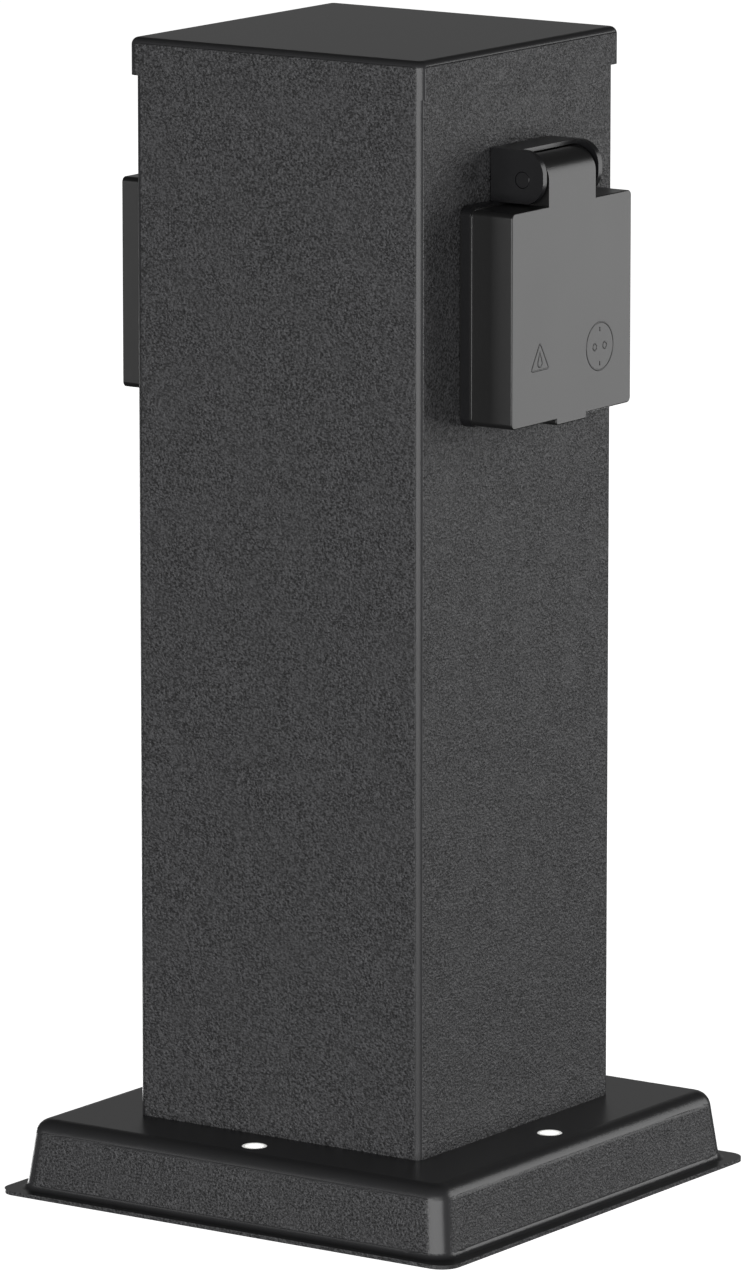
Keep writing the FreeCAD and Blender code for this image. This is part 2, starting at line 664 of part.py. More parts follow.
def terminal_block():
    """The insulating body of the three-pole terminal block."""
    body = box(-BLOCK_HALF_X, BLOCK_HALF_X, -BLOCK_HALF_Y, BLOCK_HALF_Y, SHELF_TOP, SHELF_TOP + BLOCK_HEIGHT)
    body = body.makeFillet(BLOCK_EDGE_R, level_edges(body, SHELF_TOP + BLOCK_HEIGHT))
    cuts = []
    top = SHELF_TOP + BLOCK_HEIGHT
    for pole in (-1, 0, 1):
        y = pole * POLE_PITCH
        half, room = POLE_HALF + SLIP, CLAMP_BAR_HALF + SLIP
        cuts.append(box(-room, room, y - half, y + half, POLE_Z - half, POLE_Z + half))
        cuts.append(rod(WIRE_R + WIRE_GAP, (-BLOCK_HALF_X, y, POLE_Z), 2 * BLOCK_HALF_X, X_DIR))
        for x in (-CLAMP_SCREW_X, CLAMP_SCREW_X):
            cuts.append(rod(head_radius(CLAMP_SCREW_R) + SCREW_GAP, (x, y, POLE_Z), top - POLE_Z, Z_DIR))
    for y in (-POLE_PITCH / 2, POLE_PITCH / 2):
        cuts.append(rod(BLOCK_SCREW_R + SCREW_GAP, (0, y, SHELF_TOP), BLOCK_HEIGHT, Z_DIR))
    cuts.append(rod(EARTH_BOLT_R + SCREW_GAP, (0, 0, SHELF_TOP), BLOCK_HEIGHT / 2, Z_DIR))
    return body.cut(cuts)


def terminal_clamps():
    """The three brass clamps. The middle one is the earth, bolted through to the stand."""
    clamps = []
    for pole in (-1, 0, 1):
        y = pole * POLE_PITCH
        end = CLAMP_BAR_HALF
        bar = box(-end, end, y - POLE_HALF, y + POLE_HALF, POLE_Z - POLE_HALF, POLE_Z + POLE_HALF)
        cuts = [rod(WIRE_HOLE_R, (s * end, y, POLE_Z), CLAMP_WIRE_DEPTH, X_DIR * -s) for s in (-1, 1)]
        for x in (-CLAMP_SCREW_X, CLAMP_SCREW_X):
            cuts.append(rod(CLAMP_SCREW_R + THREAD_GAP, (x, y, POLE_Z), POLE_HALF, Z_DIR))
        if pole == 0:
            cuts.append(rod(EARTH_BOLT_R + THREAD_GAP, (0, 0, POLE_Z - POLE_HALF), POLE_HALF, Z_DIR))
        clamps.append(bar.cut(cuts))
    return Part.makeCompound(clamps)


def clamp_screws():
    """The six screws that press on the wires in the terminal block."""
    screws = []
    for pole in (-1, 0, 1):
        for x in (-CLAMP_SCREW_X, CLAMP_SCREW_X):
            y = pole * POLE_PITCH
            tip, seat = (x, y, POLE_Z + PRESS_AT), (x, y, POLE_Z + POLE_HALF + HEAD_LIFT)
            screws.append(pan_screw(CLAMP_SCREW_R, tip, seat, (0, 0, 1)))
    return Part.makeCompound(screws)


def block_screws():
    """Two screws that hold the terminal block down on the stand."""
    seat, tip = SHELF_TOP + BLOCK_HEIGHT, SHELF_TOP - STAND_T - SCREW_END
    return Part.makeCompound([
        pan_screw(BLOCK_SCREW_R, (0, y, tip), (0, y, seat), (0, 0, 1))
        for y in (-POLE_PITCH / 2, POLE_PITCH / 2)
    ])


def earth_bolt():
    """The bolt from under the shelf into the earth clamp, which bonds the metal body."""
    seat = SHELF_TOP - STAND_T - EARTH_WASHER_T
    return pan_screw(EARTH_BOLT_R, (0, 0, POLE_Z - POLE_HALF / 2), (0, 0, seat), (0, 0, -1))


def earth_washer():
    """The tooth washer under that bolt's head, which bites through the paint."""
    low = SHELF_TOP - STAND_T - EARTH_WASHER_T
    r = EARTH_BOLT_R * 2
    disc = ring(r, EARTH_BOLT_R + SCREW_GAP, (0, 0, low), EARTH_WASHER_T, Z_DIR)
    notches = []
    for i in range(WASHER_TEETH):
        turn = 2 * math.pi * i / WASHER_TEETH
        at = (r * math.cos(turn), r * math.sin(turn), low)
        notches.append(rod(WASHER_NOTCH_R, at, EARTH_WASHER_T, Z_DIR))
    return disc.cut(notches)


def cord_clamp_bar():
    """The strain relief's bar, with a shallow saddle for the supply cable."""
    half_x, half_z = CORD_SCREW_SPREAD + CORD_BAR_END, CORD_BAR_HALF
    back = CLAMP_FACE - CLAMP_BAR_T
    bar = box(-half_x, half_x, back, CLAMP_FACE, CLAMP_Z - half_z, CLAMP_Z + half_z)
    corners = edges_at(bar, lambda b: b.XLength < 1e-6 and b.ZLength < 1e-6)
    bar = bar.makeFillet(CLAMP_BAR_T, corners)
    holes = [
        rod(CORD_SCREW_R + SCREW_GAP, (s * CORD_SCREW_SPREAD, back, CLAMP_Z), CLAMP_BAR_T, Y_DIR)
        for s in (-1, 1)
    ]
    saddle_start = (0, CLAMP_FACE + CLAMP_R - CORD_SADDLE, CLAMP_Z - half_z)
    holes.append(rod(CLAMP_R, saddle_start, 2 * half_z, Z_DIR))
    return bar.cut(holes)


def cord_clamp_screws():
    """Two screws from the bar, through the stand's leg."""
    seat = CLAMP_FACE - CLAMP_BAR_T
    tip = STAND_HALF_Y + NUT_HEIGHT * CORD_SCREW_R + SCREW_END
    return Part.makeCompound([
        pan_screw(CORD_SCREW_R, (x, tip, CLAMP_Z), (x, seat, CLAMP_Z), (0, -1, 0))
        for x in (-CORD_SCREW_SPREAD, CORD_SCREW_SPREAD)
    ])


def cord_clamp_nuts():
    """The nuts of those screws, outside the leg."""
    return Part.makeCompound([
        nut(CORD_SCREW_R, (x, STAND_HALF_Y, CLAMP_Z), Y_DIR) for x in (-CORD_SCREW_SPREAD, CORD_SCREW_SPREAD)
    ])


# ================================================================ socket housing
def socket_frame():
    """The moulded housing: flange, collar, barrel and the ears and roof of the lid's hinge."""
    flange = plate_out(FLANGE_HALF_W, FLANGE_HALF_H, FLANGE_CORNER_R, HOUSING_GASKET_T, FLANGE_FRONT)
    flange = flange.makeFillet(FLANGE_EDGE_R, front_edges(flange, FLANGE_FRONT))
    top = HINGE_Z + EAR_TOP
    low = FLANGE_HALF_H - TONGUE_ROOT
    tongue = box(HOUSING_GASKET_T, FLANGE_FRONT, -HINGE_HALF_W, HINGE_HALF_W, low, top)
    roof = box(
        FLANGE_FRONT, HINGE_X - ROOF_BACK, -HINGE_HALF_W + EAR_T, HINGE_HALF_W - EAR_T, top - ROOF_T, top
    )
    pieces = [
        flange, tongue, roof,
        rod(BARREL_R, (BARREL_BACK, 0, 0), BARREL_DEPTH, X_DIR),
        rod(COLLAR_R, (FLANGE_FRONT, 0, 0), COLLAR_LENGTH, X_DIR),
    ]
    for side in (-1, 1):
        pieces.append(hinge_ear(side))
    body = merge(pieces)
    cuts = [rod(BORE_R, (BARREL_BACK, 0, 0), COLLAR_FRONT - BARREL_BACK, X_DIR)]
    cuts.append(rod(PIN_R + PIN_GAP, (HINGE_X, -HINGE_HALF_W, HINGE_Z), 2 * HINGE_HALF_W, Y_DIR))
    for y, z in HOUSING_SCREWS:
        cuts.append(rod(HOUSING_SCREW_R + SCREW_GAP, (HOUSING_GASKET_T, y, z), FLANGE_T, X_DIR))
        sink = HOUSING_HEAD_R - HOUSING_SCREW_R
        cuts.append(Part.makeCone(
            HOUSING_SCREW_R + SLIP, HOUSING_HEAD_R + SLIP, sink, Vec(FLANGE_FRONT - sink, y, z), X_DIR
        ))
    for y, z in insert_screw_places():
        bite = INSERT_SCREW_BITE + INSERT_SCREW_SPARE
        cuts.append(rod(INSERT_SCREW_R + THREAD_GAP, (BARREL_BACK, y, z), bite, X_DIR))
    return body.cut(cuts)


def hinge_ear(side):
    """One ear. Its lower front follows a circle round the pin, so that the lid's top clears it."""
    nose_x, nose_z = EAR_FRONT - EAR_NOSE_R, EAR_TOP - EAR_NOSE_R
    diagonal = EAR_NOSE_R * math.sqrt(0.5)
    chin = math.sqrt(EAR_FRONT**2 - EAR_UNDER**2)
    chin_turn = math.atan2(-EAR_UNDER, chin) / 2
    root = FLANGE_FRONT - HINGE_X - EAR_ROOT
    outline = [
        Part.LineSegment(Vec(root, 0, -EAR_UNDER), Vec(chin, 0, -EAR_UNDER)),
        Part.Arc(
            Vec(chin, 0, -EAR_UNDER),
            Vec(EAR_FRONT * math.cos(chin_turn), 0, EAR_FRONT * math.sin(chin_turn)),
            Vec(EAR_FRONT, 0, 0),
        ),
        Part.LineSegment(Vec(EAR_FRONT, 0, 0), Vec(EAR_FRONT, 0, nose_z)),
        Part.Arc(
            Vec(EAR_FRONT, 0, nose_z), Vec(nose_x + diagonal, 0, nose_z + diagonal), Vec(nose_x, 0, EAR_TOP)
        ),
        Part.LineSegment(Vec(nose_x, 0, EAR_TOP), Vec(root, 0, EAR_TOP)),
        Part.LineSegment(Vec(root, 0, EAR_TOP), Vec(root, 0, -EAR_UNDER)),
    ]
    face = Part.Face(Part.Wire([piece.toShape() for piece in outline]))
    ear = face.extrude(Vec(0, EAR_T, 0))
    start = HINGE_HALF_W - EAR_T if side > 0 else -HINGE_HALF_W
    ear.translate(Vec(HINGE_X, start, HINGE_Z))
    return ear


def flange_gasket():
    """The rubber gasket between the flange and the column."""
    half_w, half_h = FLANGE_HALF_W - GASKET_INSET, FLANGE_HALF_H - GASKET_INSET
    sheet = plate_out(half_w, half_h, FLANGE_CORNER_R, 0, HOUSING_GASKET_T)
    cuts = [rod(BARREL_R + BARREL_GAP, (0, 0, 0), HOUSING_GASKET_T, X_DIR)]
    for y, z in HOUSING_SCREWS:
        cuts.append(rod(HOUSING_SCREW_R + SCREW_GAP, (0, y, z), HOUSING_GASKET_T, X_DIR))
    return sheet.cut(cuts)


def frame_screws():
    """Four countersunk screws that hold the housing, hidden under the lid."""
    screws = []
    sink = HOUSING_HEAD_R - HOUSING_SCREW_R
    tip = -SHEET - NUT_HEIGHT * HOUSING_SCREW_R - SCREW_END
    for y, z in HOUSING_SCREWS:
        head = Part.makeCone(HOUSING_SCREW_R, HOUSING_HEAD_R, sink, Vec(FLANGE_FRONT - sink, y, z), X_DIR)
        shank = rod(HOUSING_SCREW_R, (tip, y, z), FLANGE_FRONT - sink - tip, X_DIR)
        long, thin, floor = HOUSING_SCREW_R, CROSS_HALF_T, FLANGE_FRONT - CROSS_DEPTH
        cross = [
            box(floor, FLANGE_FRONT, y - long, y + long, z - thin, z + thin),
            box(floor, FLANGE_FRONT, y - thin, y + thin, z - long, z + long),
        ]
        screws.append(merge([head, shank]).cut(cross))
    return Part.makeCompound(screws)


def frame_nuts():
    """The nuts of those screws, on the column's inner wall."""
    return Part.makeCompound([
        nut(HOUSING_SCREW_R, (-SHEET, y, z), Vec(-1, 0, 0)) for y, z in HOUSING_SCREWS
    ])


# ================================================================ lid and hinge
def socket_lid():
    """The hinged lid: a shallow box with a bead round its edge, a finger lip and a hinge knuckle."""
    finger = box(
        LID_FRONT - FINGER_DEPTH, LID_FRONT, -FINGER_HALF_W, FINGER_HALF_W,
        -LID_HALF_H - FINGER_DROP, -LID_HALF_H + LID_WALL / 2,
    )
    low_corners = edges_at(finger, lambda b: b.XLength > FINGER_DEPTH / 2 and b.ZMax < -LID_HALF_H)
    finger = finger.makeFillet(FINGER_CORNER_R, low_corners)
    body = merge([plate_out(LID_HALF_W, LID_HALF_H, LID_CORNER_R, LID_REAR, LID_FRONT), finger])
    body = body.makeFillet(LID_EDGE_R, front_edges(body, LID_FRONT))
    bead = plate_out(
        LID_HALF_W + RIM_PROUD, LID_HALF_H + RIM_PROUD, FLANGE_CORNER_R, LID_REAR, LID_REAR + RIM_LENGTH
    )
    bead = bead.makeFillet(RIM_EDGE_R, front_edges(bead, LID_REAR + RIM_LENGTH))
    body = merge([body, bead])
    half_w, half_h = LID_HALF_W - LID_WALL, LID_HALF_H - LID_WALL
    hollow = plate_out(half_w, half_h, LID_HOLLOW_R, LID_REAR - PAST, LID_FRONT - LID_WALL)
    body = body.cut(hollow)
    return merge([body, knuckle()]).cut(hinge_cuts())


def knuckle():
    """The hinge knuckle, and the tab that runs flush from it into the lid's front."""
    low = LID_HALF_H - LID_WALL / 2
    return merge([
        box(HINGE_X, LID_FRONT, -TAB_HALF_W, TAB_HALF_W, low, HINGE_Z),
        rod(KNUCKLE_R, (HINGE_X, -TAB_HALF_W, HINGE_Z), 2 * TAB_HALF_W, Y_DIR),
    ])


def hinge_cuts():
    """The pin's bore, and the spring's pocket in the knuckle, which is open behind the pin."""
    room = SPRING_MEAN_R + SPRING_WIRE_R + SPRING_GAP
    half, bore = POCKET_HALF_W, PIN_R + PIN_GAP
    leg = (HINGE_X + SPRING_MEAN_R, SPRING_HALF, HINGE_Z)
    return [
        rod(bore, (HINGE_X, -TAB_HALF_W, HINGE_Z), 2 * TAB_HALF_W, Y_DIR),
        box(HINGE_X - KNUCKLE_R - PAST, HINGE_X, -half, half, LID_HALF_H, HINGE_Z + KNUCKLE_R + PAST),
        rod(room, (HINGE_X, -half, HINGE_Z), 2 * half, Y_DIR),
        rod(SPRING_WIRE_R + SPRING_GAP, leg, SPRING_LEG + SPRING_GAP, Vec(0, 0, -1)),
    ]


def hinge_pin():
    """The hinge pin, flush with the ears."""
    pin = rod(PIN_R, (HINGE_X, -HINGE_HALF_W, HINGE_Z), 2 * HINGE_HALF_W, Y_DIR)
    ends = edges_at(pin, lambda b: b.YLength < 1e-6)
    return pin.makeChamfer(PIN_CHAMFER, ends)


def lid_spring():
    """The torsion spring that closes the lid. One leg stands in the lid's tab and the other bears on
    the housing's tongue."""
    helix = Part.makeHelix(SPRING_PITCH, 2 * SPRING_HALF, SPRING_MEAN_R)
    section = Part.Wire([Part.Circle(Vec(SPRING_MEAN_R, 0, 0), Y_DIR, SPRING_WIRE_R).toShape()])
    coil = Part.Wire(helix.Edges).makePipeShell([section], True, True)
    coil.rotate(Vec(0, 0, 0), X_DIR, 90)
    coil.translate(Vec(0, SPRING_HALF, 0))
    overlap = 0.1
    lid_leg = rod(SPRING_WIRE_R, (SPRING_MEAN_R, SPRING_HALF, overlap), SPRING_LEG + overlap, Vec(0, 0, -1))
    start = Vec(-SPRING_MEAN_R, -SPRING_HALF, 0)
    end = Vec(FLANGE_FRONT + SPRING_WIRE_R + SPRING_GAP - HINGE_X, -SPRING_HALF, -SPRING_LEG)
    slant = end - start
    length = slant.Length
    slant.normalize()
    housing_leg = rod(SPRING_WIRE_R, tuple(start - slant * overlap), length + overlap, slant)
    spring = merge([coil, lid_leg, housing_leg])
    spring.translate(Vec(HINGE_X, 0, HINGE_Z))
    return spring


def lid_seal():
    """The soft ring inside the lid that closes on the collar."""
    start = COLLAR_FRONT + SEAL_GAP
    length = LID_FRONT - LID_WALL - start
    seal = ring(SEAL_R_OUT, SEAL_R_IN, (start, 0, 0), length, X_DIR)
    return seal.makeFillet(SEAL_LIP_R, front_edges(seal, start))


# ================================================================ contacts
def insert_screw_places():
    """The two screws, across the insert's diagonal."""
    at = INSERT_SCREW_PCR * math.sqrt(0.5)
    return [(at, at), (-at, -at)]


def clip_slots(x0, x1):
    """The two slots that the earth strap's arms pass through."""
    half = CLIP_HALF_W + CLIP_GAP
    low, high = CLIP_ARM_Z - CLIP_FLEX, CLIP_ARM_Z + CLIP_T + CLIP_GAP
    return [box(x0, x1, -half, half, low, high), box(x0, x1, -half, half, -high, -low)]


def plug_well():
    """The round well that the plug goes into, with its guide ribs, pin holes and earth slots."""
    tube_part = rod(WELL_OUT_R, (BARREL_BACK, 0, 0), INSERT_FRONT - BARREL_BACK, X_DIR)
    shoulder = rod(BARREL_R, (INSERT_BACK, 0, 0), INSERT_SHOULDER, X_DIR)
    body = merge([tube_part, shoulder])
    body = body.cut(rod(WELL_R, (WELL_FLOOR, 0, 0), WELL_DEPTH, X_DIR))
    ribs = []
    for side in (-1, 1):
        y0, y1 = sorted((side * (WELL_R - GUIDE_DEPTH), side * (WELL_R + GUIDE_ROOT)))
        x0, x1 = WELL_FLOOR - GUIDE_ROOT, INSERT_FRONT - GUIDE_SET_BACK
        ribs.append(box(x0, x1, y0, y1, -GUIDE_HALF_W, GUIDE_HALF_W))
    body = merge([body] + ribs)
    cuts = []
    for side in (-1, 1):
        y = side * PIN_SPACING / 2
        cuts.append(rod(PIN_HOLE_R, (INSERT_BACK, y, 0), WELL_FLOOR - INSERT_BACK, X_DIR))
        lead = Vec(WELL_FLOOR - PIN_HOLE_LEAD, y, 0)
        cuts.append(Part.makeCone(PIN_HOLE_R, PIN_HOLE_R + PIN_HOLE_LEAD, PIN_HOLE_LEAD, lead, X_DIR))
    cuts += clip_slots(INSERT_BACK, WELL_FLOOR)
    cuts += clip_slots(WELL_FLOOR, INSERT_FRONT - CLIP_REACH + PAST)
    for y, z in insert_screw_places():
        cuts.append(rod(INSERT_SCREW_R + SCREW_GAP, (INSERT_BACK, y, z), INSERT_SHOULDER, X_DIR))
    body = body.cut(cuts)
    mouth = [e for e in front_edges(body, INSERT_FRONT) if abs(e.BoundBox.ZMax - WELL_R) < ON_PLANE * 10]
    return body.makeChamfer(MOUTH_CHAMFER, mouth)


def contact_carrier():
    """The body behind the well. It holds the contacts, and the shutter turns in its front face."""
    flange = rod(BARREL_R, (INSERT_BACK - CARRIER_FLANGE, 0, 0), CARRIER_FLANGE, X_DIR)
    core = rod(CARRIER_R, (CARRIER_BACK, 0, 0), CARRIER_DEPTH, X_DIR)
    body = merge([flange, core])
    body = body.cut(rod(CHAMBER_R, (CHAMBER_BACK, 0, 0), CHAMBER_DEPTH, X_DIR))
    pivot_length = PIVOT_ROOT + CHAMBER_DEPTH - SLIP
    body = merge([body, rod(SHUTTER_PIVOT_R, (CHAMBER_BACK - PIVOT_ROOT, 0, 0), pivot_length, X_DIR)])
    cuts = []
    room = TERMINAL_HALF + SLIP
    head_room = head_radius(TERMINAL_SCREW_R) + SCREW_GAP
    for side in (-1, 1):
        y = side * PIN_SPACING / 2
        cuts.append(rod(PIN_HOLE_R, (SLEEVE_FRONT, y, 0), CHAMBER_FLOOR, X_DIR))
        cuts.append(rod(SLEEVE_R_OUT + SLIP, (TERMINAL_FRONT, y, 0), SLEEVE_LENGTH, X_DIR))
        cuts.append(box(CARRIER_BACK, TERMINAL_FRONT, y - room, y + room, -room, room))
        cuts.append(rod(head_room, (TERMINAL_MIDDLE, y, 0), CARRIER_R, Z_DIR))
    half = CLIP_HALF_W + SLIP
    strap_room = CLIP_ARM_Z + CLIP_T + SLIP
    cuts.append(box(CARRIER_BACK, STRAP_FRONT, -half, half, -strap_room, strap_room))
    cuts += clip_slots(STRAP_FRONT, INSERT_BACK)
    earth_room = EARTH_TERMINAL_HALF + SLIP
    cuts.append(box(
        CARRIER_BACK, STRAP_FRONT - CLIP_T, -earth_room, earth_room,
        EARTH_TERMINAL_Z - earth_room, EARTH_TERMINAL_Z + earth_room,
    ))
    cuts.append(rod(head_room, (TERMINAL_MIDDLE, 0, EARTH_TERMINAL_Z), CARRIER_R, Vec(0, 0, -1)))
    for y, z in insert_screw_places():
        cuts.append(
            rod(INSERT_SCREW_R + SCREW_GAP, (INSERT_BACK - CARRIER_FLANGE, y, z), CARRIER_FLANGE, X_DIR)
        )
    return body.cut(cuts)


def contact_sleeves():
    """The two slit brass sleeves that grip the plug's pins, each with its wire terminal."""
    contacts = []
    half, slit_reach = TERMINAL_HALF, SLEEVE_R_OUT + SLIP
    for side in (-1, 1):
        y = side * PIN_SPACING / 2
        sleeve = rod(SLEEVE_R_OUT, (TERMINAL_FRONT, y, 0), SLEEVE_LENGTH - SLIP, X_DIR)
        block = box(TERMINAL_BACK, TERMINAL_FRONT, y - half, y + half, -half, half)
        contact = merge([sleeve, block])
        cuts = [
            rod(SLEEVE_R_IN, (TERMINAL_FRONT - SLEEVE_FLOOR, y, 0), SLEEVE_LENGTH + PAST, X_DIR),
            box(
                TERMINAL_FRONT + SLIT_ROOT, SLEEVE_FRONT, y - slit_reach, y + slit_reach,
                -SLIT_HALF, SLIT_HALF,
            ),
            rod(WIRE_HOLE_R, (TERMINAL_BACK, y, 0), TERMINAL_WIRE_DEPTH, X_DIR),
            rod(TERMINAL_SCREW_R + THREAD_GAP, (TERMINAL_MIDDLE, y, 0), TERMINAL_HALF, Z_DIR),
        ]
        contacts.append(contact.cut(cuts))
    return Part.makeCompound(contacts)


def earth_clip():
    """The earth strap: a crossbar behind the well, and two sprung arms along its walls."""
    bar_back = STRAP_FRONT - CLIP_T
    tip = INSERT_FRONT - CLIP_REACH
    bend, crown = tip - CLIP_SPRING, tip - CLIP_SPRING / 2
    top = CLIP_ARM_Z + CLIP_T
    pieces = [box(bar_back, STRAP_FRONT, -CLIP_HALF_W, CLIP_HALF_W, -top, top)]
    for side in (-1, 1):
        low, high = sorted((side * CLIP_ARM_Z, side * top))
        pieces.append(box(bar_back, bend, -CLIP_HALF_W, CLIP_HALF_W, low, high))
        inner, outer, bow = side * CLIP_ARM_Z, side * top, side * CLIP_BOW
        outline = [
            (bend, outer), (bend, inner), (crown, inner - bow), (tip, inner),
            (tip, outer), (crown, outer - bow), (bend, outer),
        ]
        wire = Part.makePolygon([Vec(x, -CLIP_HALF_W, z) for x, z in outline])
        pieces.append(Part.Face(wire).extrude(Vec(0, 2 * CLIP_HALF_W, 0)))
    pieces.append(box(
        TERMINAL_BACK, bar_back, -EARTH_TERMINAL_HALF, EARTH_TERMINAL_HALF,
        EARTH_TERMINAL_Z - EARTH_TERMINAL_HALF, EARTH_TERMINAL_Z + EARTH_TERMINAL_HALF,
    ))
    strap = merge(pieces)
    thread = (TERMINAL_MIDDLE, 0, EARTH_TERMINAL_Z)
    return strap.cut([
        rod(WIRE_HOLE_R, (TERMINAL_BACK, 0, EARTH_TERMINAL_Z), TERMINAL_WIRE_DEPTH, X_DIR),
        rod(TERMINAL_SCREW_R + THREAD_GAP, thread, EARTH_TERMINAL_HALF, Vec(0, 0, -1)),
    ])


def terminal_screws():
    """The three screws that press on the socket's wires."""
    x = TERMINAL_MIDDLE
    screws = []
    for y in (-PIN_SPACING / 2, PIN_SPACING / 2):
        tip, seat = (x, y, PRESS_AT), (x, y, TERMINAL_HALF + HEAD_LIFT)
        screws.append(pan_screw(TERMINAL_SCREW_R, tip, seat, (0, 0, 1)))
    z = EARTH_TERMINAL_Z
    tip, seat = (x, 0, z - PRESS_AT), (x, 0, z - EARTH_TERMINAL_HALF - HEAD_LIFT)
    screws.append(pan_screw(TERMINAL_SCREW_R, tip, seat, (0, 0, -1)))
    return Part.makeCompound(screws)


def rear_cover():
    """The insulating cap over the carrier's open back, with a hole for each wire."""
    cap = rod(CARRIER_R + SLIP + COVER_WALL, (COVER_BACK, 0, 0), COVER_T + COVER_SKIRT, X_DIR)
    cap = cap.makeFillet(COVER_EDGE_R, front_edges(cap, COVER_BACK))
    cuts = [rod(CARRIER_R + SLIP, (CARRIER_BACK, 0, 0), COVER_SKIRT, X_DIR)]
    for y, z in wire_places():
        cuts.append(rod(WIRE_R + COVER_HOLE_GAP, (COVER_BACK, y, z), COVER_T, X_DIR))
    return cap.cut(cuts)


def wire_places():
    """Where the wires leave the socket: the two pins' terminals, then the earth."""
    return [(-PIN_SPACING / 2, 0), (PIN_SPACING / 2, 0), (0, EARTH_TERMINAL_Z)]


def insert_screws():
    """Two screws that draw the carrier and the well up against the housing's barrel."""
    seat = INSERT_BACK - CARRIER_FLANGE
    return Part.makeCompound([
        pan_screw(INSERT_SCREW_R, (BARREL_BACK + INSERT_SCREW_BITE, y, z), (seat, y, z), (-1, 0, 0))
        for y, z in insert_screw_places()
    ])


def shutter():
    """The child-safety shutter: two vanes behind the pin holes, which the plug's pins turn aside."""
    back = SHUTTER_FRONT - SHUTTER_T
    disc = rod(SHUTTER_R, (back, 0, 0), SHUTTER_T, X_DIR)
    reach = SHUTTER_R + PAST
    slope = math.tan(math.radians(SHUTTER_HALF_ANGLE))
    kept = []
    for side in (-1, 1):
        corners = [(0, 0), (side * reach, slope * reach), (side * reach, -slope * reach), (0, 0)]
        wire = Part.makePolygon([Vec(back, y, z) for y, z in corners])
        kept.append(Part.Face(wire).extrude(Vec(SHUTTER_T, 0, 0)))
    vanes = disc.common(kept[0].fuse(kept[1]))
    body = merge([rod(SHUTTER_HUB_R, (back, 0, 0), SHUTTER_T, X_DIR), vanes])
    ramps = []
    for side in (-1, 1):
        centre = Vec(SHUTTER_FRONT + RAMP_LIFT, side * PIN_SPACING / 2, -side * RAMP_OFFSET)
        ramps.append(Part.makeSphere(RAMP_R, centre))
    return body.cut(ramps + [rod(SHUTTER_PIVOT_R + PIVOT_GAP, (back, 0, 0), SHUTTER_T, X_DIR)])


def shutter_spring():
    """The hairpin wire that returns the shutter."""
    x = SHUTTER_FRONT - SHUTTER_T / 2
    flank = math.radians(SHUTTER_HALF_ANGLE)
    lift = HAIRPIN_WIRE_R + HAIRPIN_GAP
    fixed_end = Vec(x, -3.0, CHAMBER_R - 1.0)
    bend = Vec(x, 1.0, SHUTTER_HUB_R + 2.6)
    vane_end = Vec(
        x, HAIRPIN_TOUCH * math.cos(flank) - lift * math.sin(flank),
        HAIRPIN_TOUCH * math.sin(flank) + lift * math.cos(flank),
    )
    return tube([fixed_end, bend, vane_end], HAIRPIN_WIRE_R, HAIRPIN_BEND_R)


# ================================================================ wires
def socket_wire(side, y, z):
    """One wire, from a socket's terminal down to the terminal block, bare at both ends."""
    inside = HALF + COVER_BACK - WIRE_TURN
    out = BLOCK_HALF_X + WIRE_OUT
    inner_end, low_end = HALF + CARRIER_BACK, BLOCK_HALF_X - WIRE_STRIP
    points = [
        Vec(side * inner_end, y, z), Vec(side * inside, y, z), Vec(side * inside, y, z - WIRE_DROP),
        Vec(side * out, y, POLE_Z + WIRE_RISE), Vec(side * out, y, POLE_Z), Vec(side * low_end, y, POLE_Z),
    ]
    jacket = tube(points, WIRE_R, WIRE_BEND_R)
    bare = TERMINAL_BACK - CARRIER_BACK + TERMINAL_WIRE_DEPTH - WIRE_END_GAP
    bare_top = rod(COPPER_R, (side * inner_end, y, z), bare, X_DIR * side)
    bare_low = rod(COPPER_R, (side * low_end, y, POLE_Z), CLAMP_WIRE_DEPTH, X_DIR * -side)
    return merge([jacket, bare_top, bare_low])


# ================================================================ write the files
def body_parts():
    """Every piece of the column, foot, cap and terminal stand."""
    return {
        "base_plate": base_plate(),
        "post_tube": post_tube(),
        "top_cap": top_cap(),
        "cap_clips": cap_clips(),
        "anchor_sleeves": anchor_sleeves(),
        "corner_angles": corner_angles(),
        "foot_screws": foot_screws(),
        "foot_washers": foot_washers(),
        "foot_nuts": foot_nuts(),
        "cable_grommet": cable_grommet(),
        "terminal_stand": terminal_stand(),
        "stand_screws": stand_screws(),
        "stand_nuts": stand_nuts(),
        "terminal_block": terminal_block(),
        "terminal_clamps": terminal_clamps(),
        "clamp_screws": clamp_screws(),
        "block_screws": block_screws(),
        "earth_bolt": earth_bolt(),
        "earth_washer": earth_washer(),
        "cord_clamp_bar": cord_clamp_bar(),
        "cord_clamp_screws": cord_clamp_screws(),
        "cord_clamp_nuts": cord_clamp_nuts(),
    }


def socket_parts():
    """Every piece of one socket, in the socket's own frame."""
    return {
        "socket_frame": socket_frame(),
        "flange_gasket": flange_gasket(),
        "frame_screws": frame_screws(),
        "frame_nuts": frame_nuts(),
        "lid": socket_lid(),
        "lid_seal": lid_seal(),
        "hinge_pin": hinge_pin(),
        "lid_spring": lid_spring(),
        "plug_well": plug_well(),
        "contact_carrier": contact_carrier(),
        "contact_sleeves": contact_sleeves(),
        "earth_clip": earth_clip(),
        "terminal_screws": terminal_screws(),
        "rear_cover": rear_cover(),
        "insert_screws": insert_screws(),
        "shutter": shutter(),
        "shutter_spring": shutter_spring(),
    }


def wire_parts():
    """The live, neutral and earth wires, one of each from each socket."""
    runs = {
        "live_wires": (-PIN_SPACING / 2, SOCKET_Z),
        "neutral_wires": (PIN_SPACING / 2, SOCKET_Z),
        "earth_wires": (0, SOCKET_Z + EARTH_TERMINAL_Z),
    }
    return {
        name: Part.makeCompound([socket_wire(side, y, z) for _, side in SIDES])
        for name, (y, z) in runs.items()
    }


